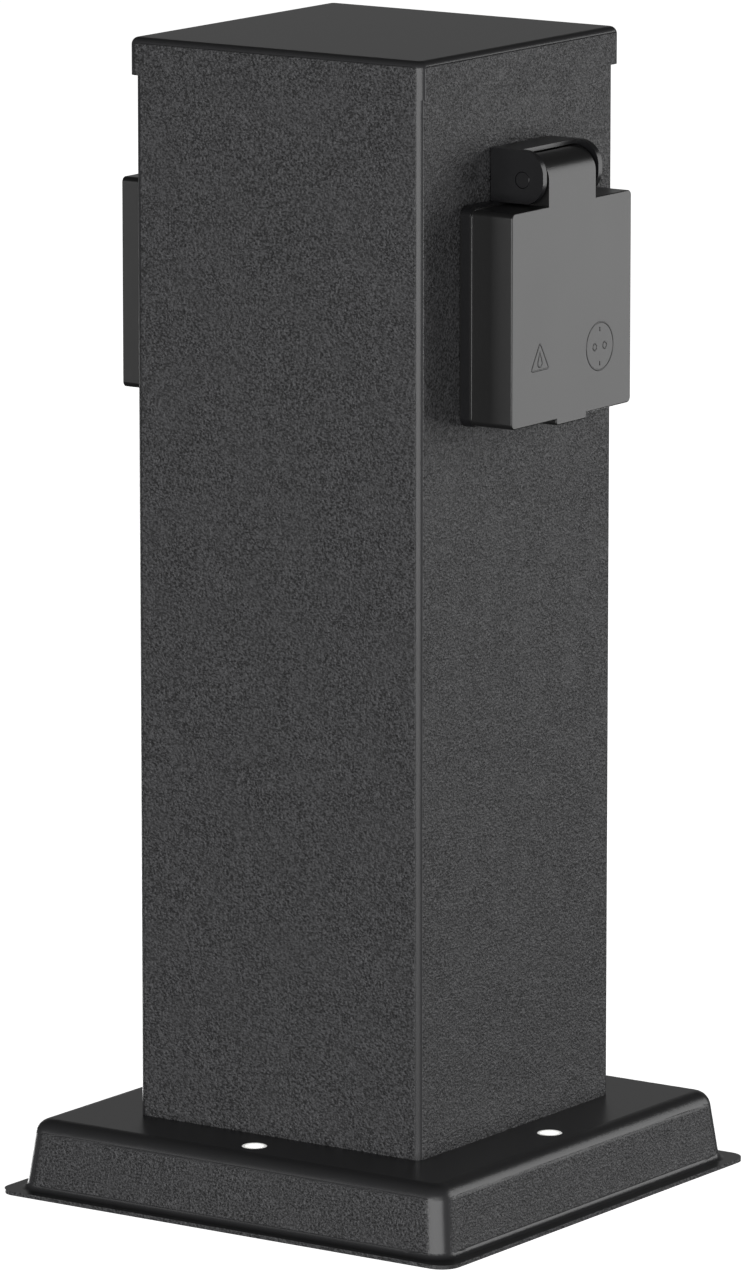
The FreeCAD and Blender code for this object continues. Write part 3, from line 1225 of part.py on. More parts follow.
def write(name, shape):
    """One STEP file per piece. Each piece has to be made of valid closed solids."""
    for solid in shape.Solids:
        if not solid.isValid() or solid.Volume <= 0:
            raise ValueError(f"{name} has a bad solid")
    if not shape.Solids:
        raise ValueError(f"{name} has no solid")
    solids = shape.Solids
    clean = solids[0] if len(solids) == 1 else Part.makeCompound(solids)
    clean.exportStep(os.path.join("parts", f"{name}.step"))
    print(f"{name:24s} {len(solids)} solid(s) {sum(s.Volume for s in solids):12.1f} mm3")


def main():
    os.makedirs("parts", exist_ok=True)
    for name, shape in body_parts().items():
        write(name, shape)
    for name, shape in socket_parts().items():
        for label, side in SIDES:
            write(f"{label}_{name}", place(shape, side))
    for name, shape in wire_parts().items():
        write(name, shape)


main()
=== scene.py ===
"""Garden power post: stage, finishes and moulded pieces around the CAD frame.

Metres, +Z up, with an outlet on each of the faces towards +X and -X.
"""

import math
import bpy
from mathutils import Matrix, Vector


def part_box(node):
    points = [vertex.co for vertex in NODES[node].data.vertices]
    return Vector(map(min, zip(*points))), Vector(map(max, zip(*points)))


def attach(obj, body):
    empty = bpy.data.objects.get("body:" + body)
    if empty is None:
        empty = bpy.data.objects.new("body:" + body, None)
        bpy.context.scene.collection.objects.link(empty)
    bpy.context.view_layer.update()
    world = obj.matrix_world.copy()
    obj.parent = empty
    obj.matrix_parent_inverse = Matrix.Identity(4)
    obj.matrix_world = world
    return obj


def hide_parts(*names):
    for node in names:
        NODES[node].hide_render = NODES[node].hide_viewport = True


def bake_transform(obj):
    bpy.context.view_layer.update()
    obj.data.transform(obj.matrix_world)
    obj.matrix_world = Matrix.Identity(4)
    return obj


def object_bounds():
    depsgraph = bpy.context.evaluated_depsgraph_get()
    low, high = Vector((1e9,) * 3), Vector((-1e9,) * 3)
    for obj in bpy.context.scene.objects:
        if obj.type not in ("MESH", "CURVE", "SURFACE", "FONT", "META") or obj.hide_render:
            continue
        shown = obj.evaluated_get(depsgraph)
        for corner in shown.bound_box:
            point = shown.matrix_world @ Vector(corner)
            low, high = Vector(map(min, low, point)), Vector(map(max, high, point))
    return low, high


bl_info = {
    "name": "Garden power post",
    "version": (1, 0, 0),
    "blender": (4, 5, 0),
    "location": "3D View > Sidebar > Power post",
    "description": "Dresses the frame of a garden power post with its finishes and moulded pieces",
    "category": "Object",
}

import bmesh
import bpy
from mathutils import Matrix, Vector

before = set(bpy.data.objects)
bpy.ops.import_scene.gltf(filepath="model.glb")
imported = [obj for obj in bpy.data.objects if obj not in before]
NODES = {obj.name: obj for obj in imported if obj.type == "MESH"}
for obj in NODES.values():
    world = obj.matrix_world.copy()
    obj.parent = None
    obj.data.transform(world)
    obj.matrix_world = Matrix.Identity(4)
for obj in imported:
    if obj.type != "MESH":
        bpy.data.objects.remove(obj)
CAD_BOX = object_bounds()
SIDES = (("right", 1), ("left", -1))
MM = 0.001
FINISHES = {}  # each slot's material, filled by the finishes operator

# Sizes in millimetres that a node's box doesn't show, as in the frame
GASKET_HOLE_R = 27.0
GASKET_CORNER_R = 2.6
FRAME_SCREW_HOLE_R = 1.95
FRAME_SCREW_Y = 24.5
FRAME_SCREW_Z = 25.2
SLEEVE_R = 3.7
SLEEVE_FOOT_R = 6.0
SLEEVE_FOOT_THICK = 1.6
SLEEVE_BORE_R = 2.7
HAIRPIN_WIRE_R = 0.25
HAIRPIN_BEND_Y = 1.0
HAIRPIN_BEND_Z = 6.6
GROMMET_BORE_R = 5.0
GROMMET_LIP = 1.5
GROMMET_GROOVE_DEPTH = 2.55
FOOT_SHEET = 1.2

# The signs on the lids, in millimetres from the outlet's axis
SIGN_Z = -12.6
DROP_SIGN_Y = -16.5
PLUG_SIGN_Y = 14.7
SIGN_ROOT = 0.3  # how deep a line starts inside the lid
TRIANGLE = ((-4.6, -2.9), (4.6, -2.9), (0, 5.0))
TRIANGLE_CORNER = 0.9
DROP_TIP = 2.3
DROP_BELLY_R = 1.15
DROP_BELLY_Z = -0.9
PLUG_R = 7.0
PLUG_PIN_R = 0.95
PLUG_PIN_Y = 2.6
PLUG_TICK = (4.4, 5.6)

# The powder coat: how flat and level faces differ, with painted shade that darkens level faces, and
# how far the grain shows
FLAT_FROM, FLAT_TO = 0.95, 0.99
COAT_DARK, COAT_LIGHT = 0.15, 1.85
COAT_MIDDLE = 0.5
# Painted shade: how much darker the colour of level faces is made
COAT_LEVEL_PAINTED_SHADE = 0.40
COAT_GRAIN_TONE = 0.85
COAT_ROUGHNESS = 0.30
COAT_FLAT_ROUGHER = 0.20
COAT_LEVEL_ROUGHER = 0.04
COAT_GRAIN_GLOSS = 0.16

# The depth of the other finishes' fine relief, in metres, and how dark a stain on metal is
PLASTIC_GRAIN_DEPTH = 0.00002
RUBBER_GRAIN_DEPTH = 0.00003
SCRATCH_DEPTH = 0.000012
METAL_STAIN = 0.12

# The soft boxes: name, place, the point they face, width, height and radiance
SOFT_BOXES = (
    ("panel_right", (0.95, 1.10, 0.33), (0.0, 0.0, 0.24), 1.05, 1.05, 2.45),
    ("panel_wide", (1.06, -1.94, 0.30), (0.0, 0.0, 0.22), 4.0, 1.1, 3.95),
    ("panel_left", (-1.47, -1.63, 0.30), (0.0, 0.0, 0.20), 0.85, 1.15, 1.25),
    ("panel_back", (-1.5, 2.2, 0.60), (0.0, 0.0, 0.25), 2.2, 1.0, 0.27),
    ("panel_behind", (-1.70, 1.50, -0.62), (0.0, 0.0, 0.15), 2.4, 0.8, 4.2),
)

# The camera looks this far, in millimetres, from the middle of the frame's box
CAMERA_SHIFT = (-0.8, -0.55, -8.0)
SENSOR_WIDTH = 36.0

# The floor's flat radius, the sweep's radius, the wall's height and the dome's top, in metres
FLOOR_R = 7.0
SWEEP_R = 2.0
WALL_TOP = 14.0
DOME_TOP = 18.0


# ---------------------------------------------------------------- shader maths
class Value:
    """A number or colour that varies over a surface. Arithmetic on numbers adds Math nodes."""

    def __init__(self, shader, socket):
        self.shader = shader
        self.socket = socket

    def maths(self, operation, *terms):
        return self.shader.node("Math", {"operation": operation}, dict(enumerate(terms)))

    def __add__(self, other):
        return self.maths("ADD", self, other)

    __radd__ = __add__

    def __sub__(self, other):
        return self.maths("SUBTRACT", self, other)

    def __rsub__(self, other):
        return self.maths("SUBTRACT", other, self)

    def __mul__(self, other):
        return self.maths("MULTIPLY", self, other)

    __rmul__ = __mul__

    def __abs__(self):
        return self.maths("ABSOLUTE", self)

    def at_least(self, other):
        return self.maths("MAXIMUM", self, other)


class Shader:
    """One material's node tree, with the constants of its surface set on the Principled node."""

    def __init__(self, name, **constants):
        self.material = bpy.data.materials.new(name)
        self.material.use_nodes = True
        self.tree = self.material.node_tree
        self.surface = self.tree.nodes["Principled BSDF"]
        for socket, value in constants.items():
            self.feed(self.surface.inputs[socket.replace("_", " ")], value)

    def node(self, kind, settings=None, inputs=None, output=0):
        """A node: its settings are set first, then the values or links of its sockets."""
        made = self.tree.nodes.new("ShaderNode" + kind)
        for name, value in (settings or {}).items():
            if name == "stops":
                self.set_stops(made.color_ramp, value)
            else:
                setattr(made, name, value)
        for socket, value in (inputs or {}).items():
            self.feed(made.inputs[socket], value)
        return Value(self, made.outputs[output])

    def set_stops(self, ramp, stops):
        """A ramp's two stops, as (position, grey) pairs."""
        for element, (position, grey) in zip(ramp.elements, stops):
            element.position = position
            element.color = (grey, grey, grey, 1.0)

    def feed(self, socket, value):
        if isinstance(value, Value):
            self.tree.links.new(value.socket, socket)
        elif socket.type == "RGBA" and len(value) == 3:
            socket.default_value = (*value, 1.0)
        else:
            socket.default_value = value

    def paint(self, **values):
        """What varies over the surface, by the Principled node's socket names."""
        for socket, value in values.items():
            self.feed(self.surface.inputs[socket.replace("_", " ")], value)

    def place(self):
        return self.node("TexCoord", output="Object")

    def facing(self):
        """The surface's direction in the piece's own frame, as three numbers."""
        normal = self.node("TexCoord", output="Normal")
        return [self.node("SeparateXYZ", inputs={0: normal}, output=i) for i in range(3)]

    def noise(self, size, detail=2.0, roughness=0.5, stretch=(1, 1, 1)):
        """Smooth noise from 0 to 1 whose blotches are about size metres across."""
        scaled = self.node("VectorMath", {"operation": "MULTIPLY"}, {0: self.place(), 1: stretch})
        return self.node("TexNoise", inputs={
            "Vector": scaled, "Scale": 1 / size, "Detail": detail, "Roughness": roughness})

    def cells(self, size):
        """Distance to the middle of the nearest grain, for grains about size metres across."""
        return self.node("TexVoronoi", inputs={"Vector": self.place(), "Scale": 1 / size})

    def ramp(self, value, *stops):
        """A value drawn out between two stops, from one grey to the other."""
        return self.node("ValToRGB", {"stops": stops}, {0: value})

    def blend(self, factor, first, second):
        """A mix of two colours."""
        return self.node("Mix", {"data_type": "RGBA"}, {0: factor, 6: first, 7: second}, 2)

    def relief(self, height, depth):
        """A bump whose height of 1 stands depth metres proud."""
        return self.node("Bump", inputs={"Height": height, "Distance": depth, "Strength": 1.0})


def tint(colour, k):
    """A colour made lighter or darker."""
    return tuple(c * k for c in colour)


# ---------------------------------------------------------------- finishes
def powder_coat(looks):
    """Fine-textured dark powder coat: grained on the upright flat sheets.

    Folds, rims and level faces are smooth and glossier; level faces also carry painted shade, their
    colour made darker the more level they lie.
    """
    s = Shader("powder_coat_anthracite", Specular_IOR_Level=0.5)
    nx, ny, nz = s.facing()
    flat = s.ramp(abs(nx).at_least(abs(ny)), (FLAT_FROM, 0), (FLAT_TO, 1))
    grain = s.noise(looks.grain_size, detail=1.2, roughness=0.6, stretch=(1, 1, 1.3))
    pits = s.ramp(s.cells(looks.grain_size * 1.5), (0.10, 0), (0.70, 1))
    skin = grain * 0.75 + pits * 0.25
    cloud = s.noise(0.011, detail=2.0)
    strength = flat * s.ramp(cloud, (0.36, 0.75), (0.56, 1))
    speckle = s.ramp(grain, (0.36, 0), (0.64, 1)) - 0.5
    level = (1 - flat) * abs(nz)
    # Painted shade: level faces get a darker colour by how level they lie; the speckle is the
    # coat's own grain
    grain_tone_and_painted_shade = COAT_MIDDLE - level * COAT_LEVEL_PAINTED_SHADE + speckle * strength * COAT_GRAIN_TONE
    dark, light = tint(looks.coat_colour, COAT_DARK), tint(looks.coat_colour, COAT_LIGHT)
    roughness = COAT_ROUGHNESS + flat * COAT_FLAT_ROUGHER + level * COAT_LEVEL_ROUGHER
    s.paint(
        Base_Color=s.blend(grain_tone_and_painted_shade, dark, light),
        Roughness=roughness - speckle * strength * COAT_GRAIN_GLOSS,
        Normal=s.relief(skin * strength, looks.grain_depth),
    )
    return s.material


def moulded(name, colour, roughness, speckle=0.10, gloss=0.5, painted_glow=0.0):
    """Moulded plastic with a fine spark-eroded grain and faint flow clouds.

    A pale one can carry painted light: an emission glow that brightens it though it is no lamp.
    """
    # Emission here is painted light, a glow on a part that is no lamp
    s = Shader(name, Specular_IOR_Level=gloss, Emission_Color=colour, Emission_Strength=painted_glow)
    fine = s.noise(0.00035, detail=1.5)
    flow = s.noise(0.022, detail=2.0, stretch=(1, 1, 0.45))
    s.paint(
        Base_Color=s.blend(flow, tint(colour, 1 - speckle), tint(colour, 1 + speckle)),
        Roughness=roughness - 0.03 + fine * 0.05 + flow * 0.04,
        Normal=s.relief(fine, PLASTIC_GRAIN_DEPTH),
    )
    return s.material


def soft_rubber():
    """Matt black rubber with a dusty bloom."""
    s = Shader("rubber_black", Specular_IOR_Level=0.35)
    bloom = s.noise(0.006, detail=4.0, roughness=0.6)
    skin = s.noise(0.0004)
    s.paint(
        Base_Color=s.blend(bloom, (0.009, 0.009, 0.009), (0.020, 0.020, 0.019)),
        Roughness=0.72 + bloom * 0.14,
        Normal=s.relief(skin, RUBBER_GRAIN_DEPTH),
    )
    return s.material


def bare_metal(name, colour, roughness, drawn=(1, 1, 1)):
    """Plated or drawn metal: fine scratches along the drawing direction, and faint patches."""
    s = Shader(name, Metallic=1.0)
    scratch = s.noise(0.0004, detail=3.0, roughness=0.7, stretch=drawn)
    patch = s.noise(0.005, detail=3.0)
    s.paint(
        Base_Color=s.blend(patch, tint(colour, 1 - METAL_STAIN), colour),
        Roughness=roughness + scratch * 0.10 + patch * 0.08,
        Normal=s.relief(scratch, SCRATCH_DEPTH),
    )
    return s.material


def wire_skin(name, colour, stripe=None):
    """Glossy wire insulation, with an even stripe where the wire has two colours."""
    s = Shader(name, Specular_IOR_Level=0.5)
    flow = s.noise(0.004, detail=2.0)
    base = s.blend(flow, tint(colour, 0.85), tint(colour, 1.1))
    if stripe:
        nx, ny = s.facing()[:2]
        band = s.ramp(abs(nx + ny), (0.44, 0), (0.50, 1))
        base = s.blend(band, base, stripe)
    s.paint(
        Base_Color=base,
        Roughness=0.34 + flow * 0.08,
        Normal=s.relief(flow, PLASTIC_GRAIN_DEPTH),
    )
    return s.material


def make_finishes(looks):
    """Every finish by the record's slot name."""
    pale, natural = (0.62, 0.60, 0.54), (0.86, 0.86, 0.84)
    green, yellow = (0.03, 0.26, 0.04), (0.75, 0.60, 0.03)
    return {
        "powder_coat": powder_coat(looks),
        "lid_plastic": moulded(
            "lid_plastic_satin", looks.lid_colour, 0.29, speckle=0.04, gloss=0.62),
        "black_plastic": moulded("housing_plastic_black", looks.housing_colour, 0.28),
        "well_plastic": moulded("well_plastic_black", (0.010, 0.010, 0.011), 0.38),
        "shutter_plastic": moulded("shutter_plastic_grey", (0.055, 0.057, 0.060), 0.42),
        "block_plastic": moulded("block_plastic_pale", pale, 0.40, speckle=0.05),
        # Painted light: the nylon sleeves glow by emission so that they look bright white
        "light_nylon": moulded("nylon_natural", natural, 0.36, speckle=0.03, painted_glow=0.55),
        "rubber": soft_rubber(),
        "zinc_steel": bare_metal("zinc_plate", (0.62, 0.64, 0.66), 0.28),
        "stainless": bare_metal("stainless_bright", (0.66, 0.65, 0.63), 0.24),
        "spring_steel": bare_metal(
            "spring_steel_drawn", (0.42, 0.42, 0.43), 0.26, drawn=(0.3, 1, 1)),
        "nickel": bare_metal("nickel_plate", (0.66, 0.62, 0.55), 0.20),
        "brass": bare_metal("brass_turned", (0.80, 0.58, 0.24), 0.24),
        "wire_brown": wire_skin("wire_skin_brown", (0.11, 0.045, 0.018)),
        "wire_blue": wire_skin("wire_skin_blue", (0.02, 0.09, 0.42)),
        "wire_green_yellow": wire_skin("wire_skin_earth", green, stripe=yellow),
    }


# ---------------------------------------------------------------- user's sizes and colours
class StageSizes(bpy.types.PropertyGroup):
    azimuth: bpy.props.FloatProperty(
        name="Camera azimuth", description="Turn of the camera round the post from its plain front",
        default=math.radians(34.6), subtype="ANGLE")
    elevation: bpy.props.FloatProperty(
        name="Camera elevation", description="Angle of the camera above the horizon",
        default=math.radians(10.844), subtype="ANGLE")
    distance: bpy.props.FloatProperty(
        name="Camera distance", description="Camera to the point it looks at",
        default=2.7093, unit="LENGTH")
    lens: bpy.props.FloatProperty(
        name="Lens", description="Focal length in millimetres", default=260.7)
    fill: bpy.props.FloatProperty(
        name="Room light", description="Even light from all round", default=0.06)


class FinishColours(bpy.types.PropertyGroup):
    coat_colour: bpy.props.FloatVectorProperty(
        name="Powder coat", description="Colour of the coated steel", size=3, subtype="COLOR",
        default=(0.047, 0.047, 0.049))
    lid_colour: bpy.props.FloatVectorProperty(
        name="Lids", description="Colour of the lids", size=3, subtype="COLOR",
        default=(0.010, 0.010, 0.010))
    housing_colour: bpy.props.FloatVectorProperty(
        name="Housings", description="Colour of the outlet housings", size=3, subtype="COLOR",
        default=(0.010, 0.010, 0.011))
    grain_size: bpy.props.FloatProperty(
        name="Coat grain", description="Size of the powder coat's pits",
        default=0.0007, unit="LENGTH")
    grain_depth: bpy.props.FloatProperty(
        name="Coat depth", description="Depth of the powder coat's pits",
        default=0.0006, unit="LENGTH")


class PieceSizes(bpy.types.PropertyGroup):
    gasket_bulge: bpy.props.FloatProperty(
        name="Gasket bulge", description="How far the squeezed gasket swells past its cut edge",
        default=0.00025, unit="LENGTH")
    seal_width: bpy.props.FloatProperty(
        name="Seal width", description="Lid seal, from its bore to its outside",
        default=0.0042, unit="LENGTH")
    spring_wire: bpy.props.FloatProperty(
        name="Spring wire", description="Radius of the lid spring's wire",
        default=0.00045, unit="LENGTH")
    spring_turns: bpy.props.FloatProperty(
        name="Spring turns", description="Turns of the lid spring's coil", default=6.5)
    sign_line: bpy.props.FloatProperty(
        name="Sign line", description="Width of the raised lines on the lids",
        default=0.0005, unit="LENGTH")
    sign_proud: bpy.props.FloatProperty(
        name="Sign height", description="How far those lines stand out",
        default=0.0001, unit="LENGTH")


# ---------------------------------------------------------------- stage
def link(name, data):
    """A new object in the scene for a mesh, light or camera."""
    made = bpy.data.objects.new(name, data)
    bpy.context.scene.collection.objects.link(made)
    return made


def aim(thing, target):
    """Turns a camera or light so that it looks at a point."""
    thing.rotation_euler = (Vector(target) - thing.location).to_track_quat("-Z", "Y").to_euler()


def add_panel(name, place, target, width, height, radiance):
    """A soft box: a rectangular light of even radiance that the camera doesn't see."""
    light = bpy.data.lights.new(name, "AREA")
    light.shape = "RECTANGLE"
    light.size = width
    light.size_y = height
    light.energy = radiance * math.pi * width * height
    panel = link(name, light)
    panel.location = place
    aim(panel, target)
    panel.visible_camera = False


def add_camera(sizes):
    """The camera stands to the right of the plain front, a little above the post's middle."""
    lens = bpy.data.cameras.new("camera")
    lens.lens = sizes.lens
    lens.sensor_width = SENSOR_WIDTH
    lens.clip_end = 100.0
    camera = link("camera", lens)
    low, high = CAD_BOX
    across, away, up = CAMERA_SHIFT
    target = Vector((across, away, 0)) * MM + Vector((0, 0, (low.z + high.z) / 2 + up * MM))
    flat = math.cos(sizes.elevation)
    back = Vector((
        math.sin(sizes.azimuth) * flat,
        -math.cos(sizes.azimuth) * flat,
        math.sin(sizes.elevation),
    ))
    camera.location = target + back * sizes.distance
    aim(camera, target)
    bpy.context.scene.camera = camera


def add_floor():
    """A pale floor that sweeps up into a round backdrop.

    It is seen, and neither lights nor shades the post.
    """
    steps = 8
    profile = [(0.0, 0.0), (FLOOR_R, 0.0)]
    for i in range(1, steps + 1):
        a = i * math.pi / (2 * steps)
        profile.append((FLOOR_R + SWEEP_R * math.sin(a), SWEEP_R - SWEEP_R * math.cos(a)))
    profile += [(FLOOR_R + SWEEP_R, WALL_TOP), (0.0, DOME_TOP)]
    shell = lathe("floor_sweep", profile, Matrix.Identity(4), 64)
    s = Shader("floor_white", Emission_Color=(1.0, 1.0, 1.0), Emission_Strength=1.0)
    cloud = s.noise(3.0, detail=0.0)
    s.paint(Base_Color=s.blend(cloud, (0.80, 0.80, 0.80), (0.82, 0.82, 0.82)))
    shell.data.materials.append(s.material)
    for ray in ("diffuse", "glossy", "transmission", "volume_scatter", "shadow"):
        setattr(shell, f"visible_{ray}", False)


# ---------------------------------------------------------------- mesh helpers, in millimetres
IN_MM = Matrix.Scale(MM, 4)
AXIS_OUT = Matrix.Rotation(math.pi / 2, 4, "Y")


def finish_mesh(name, bm):
    """The mesh as a smooth-shaded object, with its faces turned outwards."""
    bmesh.ops.recalc_face_normals(bm, faces=bm.faces)
    for face in bm.faces:
        face.smooth = True
    mesh = bpy.data.meshes.new(name)
    bm.to_mesh(mesh)
    bm.free()
    return link(name, mesh)


def bridge(bm, loops, ring=False):
    """Faces between neighbouring loops of points. A loop of one point closes to a tip."""
    pairs = list(zip(loops, loops[1:])) + ([(loops[-1], loops[0])] if ring else [])
    for lower, upper in pairs:
        count = max(len(lower), len(upper))
        for i in range(count):
            j = (i + 1) % count
            around = ((lower, i), (lower, j), (upper, j), (upper, i))
            corners = [loop[k % len(loop)] for loop, k in around]
            bm.faces.new(list(dict.fromkeys(corners)))


def circle(radius, steps, middle=(0, 0)):
    """Points round a circle."""
    turns = [2 * math.pi * i / steps for i in range(steps)]
    return [(middle[0] + radius * math.cos(a), middle[1] + radius * math.sin(a)) for a in turns]


def rounded_box(half_w, half_h, corner, steps=6):
    """Points round a rectangle with round corners."""
    points = []
    for quarter, (across, up) in enumerate(((1, 1), (-1, 1), (-1, -1), (1, -1))):
        for i in range(steps + 1):
            a = math.pi / 2 * (quarter + i / steps)
            points.append((
                across * (half_w - corner) + corner * math.cos(a),
                up * (half_h - corner) + corner * math.sin(a),
            ))
    return points


def turn(bm, profile, matrix, steps, ring=False):
    """Adds (radius, height) points swept round Z. A ring's profile is a closed loop."""
    loops = []
    for radius, height in profile:
        places = circle(radius, steps) if radius > 0 else [(0, 0)]
        loops.append([bm.verts.new(matrix @ Vector((x, y, height))) for x, y in places])
    bridge(bm, loops, ring)


def lathe(name, profile, matrix, steps, ring=False):
    """One turned piece."""
    bm = bmesh.new()
    turn(bm, profile, matrix, steps, ring)
    return finish_mesh(name, bm)


def sweep(bm, path, section, up, closed=False):
    """A bar along a path. Its section's (across, up) offsets turn with the path."""
    count = len(path)
    loops = []
    for i, point in enumerate(path):
        before = path[(i - 1) % count] if closed or i else point
        after = path[(i + 1) % count] if closed or i + 1 < count else point
        along = (after - before).normalized()
        up = (up - along * up.dot(along)).normalized()
        across = along.cross(up)
        loops.append([bm.verts.new(point + across * a + up * b) for a, b in section])
    bridge(bm, loops, closed)
    if not closed:
        bm.faces.new(loops[0])
        bm.faces.new(loops[-1])


def softened(corners, radius):
    """A closed outline whose corners are short curves that start radius before them."""
    path = []
    for i, corner in enumerate(corners):
        here = Vector(corner)
        before = (Vector(corners[i - 1]) - here).normalized() * radius
        after = (Vector(corners[(i + 1) % len(corners)]) - here).normalized() * radius
        for share in (0, 0.25, 0.5, 0.75, 1):
            path.append(tuple(here + before * (1 - share) ** 2 + after * share ** 2))
    return path


def subdivide(piece, levels):
    """Rounds a piece with a subdivision surface."""
    rounding = piece.modifiers.new("rounding", "SUBSURF")
    rounding.levels = levels
    rounding.render_levels = levels


def fit(piece, slot, *nodes, body=None):
    """Gives a piece its slot's finish, puts it on its body and lets it stand for CAD nodes."""
    piece.data.materials.append(FINISHES[slot])
    if nodes:
        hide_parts(*nodes)
    if body:
        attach(piece, body)


def outlet_frame(side):
    """A frame on an outlet's axis, in millimetres: X out of the column's face, Z up."""
    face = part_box("post_tube")[1].x
    low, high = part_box("right_lid_seal")
    half_turn = Matrix.Rotation(0.0 if side > 0 else math.pi, 4, "Z")
    return half_turn @ Matrix.Translation((face, 0, (low.z + high.z) / 2)) @ IN_MM


def outlet_box(node):
    """The low and high corners of a right-hand outlet's node, in that outlet's frame."""
    inverse = outlet_frame(1).inverted()
    low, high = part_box(f"right_{node}")
    return inverse @ low, inverse @ high


def outlet_loop(bm, matrix, x, outline):
    """A loop of (y, z) points that stands x off the column's face."""
    return [bm.verts.new(matrix @ Vector((x, *point))) for point in outline]


# ---------------------------------------------------------------- operators
class POST_OT_stage(bpy.types.Operator):
    """Add the camera, the soft boxes and the floor"""

    bl_idname = "power_post.stage"
    bl_label = "Stage"

    def execute(self, context):
        scene = context.scene
        sizes = scene.post_stage
        add_camera(sizes)
        add_floor()
        for soft_box in SOFT_BOXES:
            add_panel(*soft_box)
        room = bpy.data.worlds.new("room")
        room.use_nodes = True
        background = room.node_tree.nodes["Background"]
        background.inputs["Color"].default_value = (1, 1, 1, 1)
        background.inputs["Strength"].default_value = sizes.fill
        scene.world = room
        scene.view_settings.view_transform = "Standard"
        return {"FINISHED"}


class POST_OT_finishes(bpy.types.Operator):
    """Give every piece of the frame its finish"""

    bl_idname = "power_post.finishes"
    bl_label = "Finishes"

    def execute(self, context):
        FINISHES.update(make_finishes(context.scene.post_finish))
        for node in NODES.values():
            for slot in node.material_slots:
                slot.material = FINISHES[slot.material.name]
        return {"FINISHED"}


class POST_OT_flange_gaskets(bpy.types.Operator):
    """Squeeze a rubber gasket between each flange and the column"""

    bl_idname = "power_post.flange_gaskets"
    bl_label = "Flange gaskets"

    def execute(self, context):
        low, high = outlet_box("flange_gasket")
        t = high.x - low.x
        bulge = context.scene.post_pieces.gasket_bulge / MM
        cut = 0.25  # how far the squeezed edge draws in at the two faces
        rim = [
            (cut, 0), (-bulge * 0.6, t * 0.15), (-bulge, t * 0.5),
            (-bulge * 0.6, t * 0.85), (cut, t),
        ]
        holes = [circle(GASKET_HOLE_R, 72)]
        for y in (-1, 1):
            for z in (-1, 1):
                holes.append(circle(FRAME_SCREW_HOLE_R, 16, (y * FRAME_SCREW_Y, z * FRAME_SCREW_Z)))
        for name, side in SIDES:
            matrix = outlet_frame(side)
            bm = bmesh.new()
            rows = []
            for inset, x in rim:
                outline = rounded_box(high.y - inset, high.z - inset, GASKET_CORNER_R - inset)
                rows.append(outlet_loop(bm, matrix, x, outline))
            bridge(bm, rows)
            flats = [[rows[0]], [rows[-1]]]
            for hole in holes:
                ends = [outlet_loop(bm, matrix, x, hole) for x in (0, t)]
                bridge(bm, ends)
                flats[0].append(ends[0])
                flats[1].append(ends[1])
            for loops in flats:
                pairs = [pair for loop in loops for pair in zip(loop, loop[1:] + loop[:1])]
                edges = [bm.edges.get(pair) for pair in pairs]
                bmesh.ops.triangle_fill(bm, use_beauty=True, edges=edges)
            fit(finish_mesh(f"{name}_gasket", bm), "rubber", f"{name}_flange_gasket", body="root")
        return {"FINISHED"}


class POST_OT_lid_seals(bpy.types.Operator):
    """Put a two-lipped rubber ring inside each lid"""

    bl_idname = "power_post.lid_seals"
    bl_label = "Lid seals"

    def execute(self, context):
        low, high = outlet_box("lid_seal")
        outer, depth = high.z, high.x - low.x
        inner = outer - context.scene.post_pieces.seal_width / MM
        middle = (outer + inner) / 2
        lip = [  # how far in from the outside, and the share of the depth
            (0.0, 1.0), (0.0, 0.92), (0.0, 0.35), (0.12, 0.08),
            (0.55, 0.0), (1.0, 0.05), (1.35, 0.32),
        ]
        valley = 0.42
        half = [(outer - middle - inset, depth * share) for inset, share in lip]
        profile = [(middle + r, x) for r, x in half] + [(middle, depth * valley)]
        profile += [(middle - r, x) for r, x in reversed(half)]
        for name, side in SIDES:
            matrix = outlet_frame(side) @ Matrix.Translation((low.x, 0, 0)) @ AXIS_OUT
            ring = lathe(f"{name}_seal_ring", profile, matrix, 96, ring=True)
            subdivide(ring, 1)
            fit(ring, "rubber", f"{name}_lid_seal", body=f"{name}_lid")
        return {"FINISHED"}


class POST_OT_lid_springs(bpy.types.Operator):
    """Wind a torsion spring round each hinge pin, with a leg at each end"""

    bl_idname = "power_post.lid_springs"
    bl_label = "Lid springs"

    def execute(self, context):
        sizes = context.scene.post_pieces
        wire = sizes.spring_wire / MM
        low, high = outlet_box("lid_spring")
        pin_low, pin_high = outlet_box("hinge_pin")
        axis = (pin_low + pin_high) / 2
        radius = high.x - wire - axis.x
        half = high.y - wire
        leg_end = low.z + 0.02
        leg_start = -0.35  # below the pin's axis
        steps = 28  # to a turn
        path = [Vector((low.x + wire * 1.1, -half, leg_end))]
        path.append(axis + Vector((-radius - 0.05, -half, leg_start)))
        count = int(sizes.spring_turns * steps)
        for i in range(count + 1):
            a = 2 * math.pi * (sizes.spring_turns - i / steps)
            y = half * (2 * i / count - 1)
            path.append(axis + Vector((radius * math.cos(a), y, radius * math.sin(a))))
        path.append(axis + Vector((radius, half, leg_start)))
        path.append(Vector((axis.x + radius, half, leg_end)))
        for name, side in SIDES:
            matrix = outlet_frame(side)
            bm = bmesh.new()
            sweep(bm, path, circle(wire, 12), Vector((0, 1, 0)))
            bm.transform(matrix)
            spring = finish_mesh(f"{name}_spring_coil", bm)
            fit(spring, "spring_steel", f"{name}_lid_spring")
            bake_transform(spring)
        return {"FINISHED"}


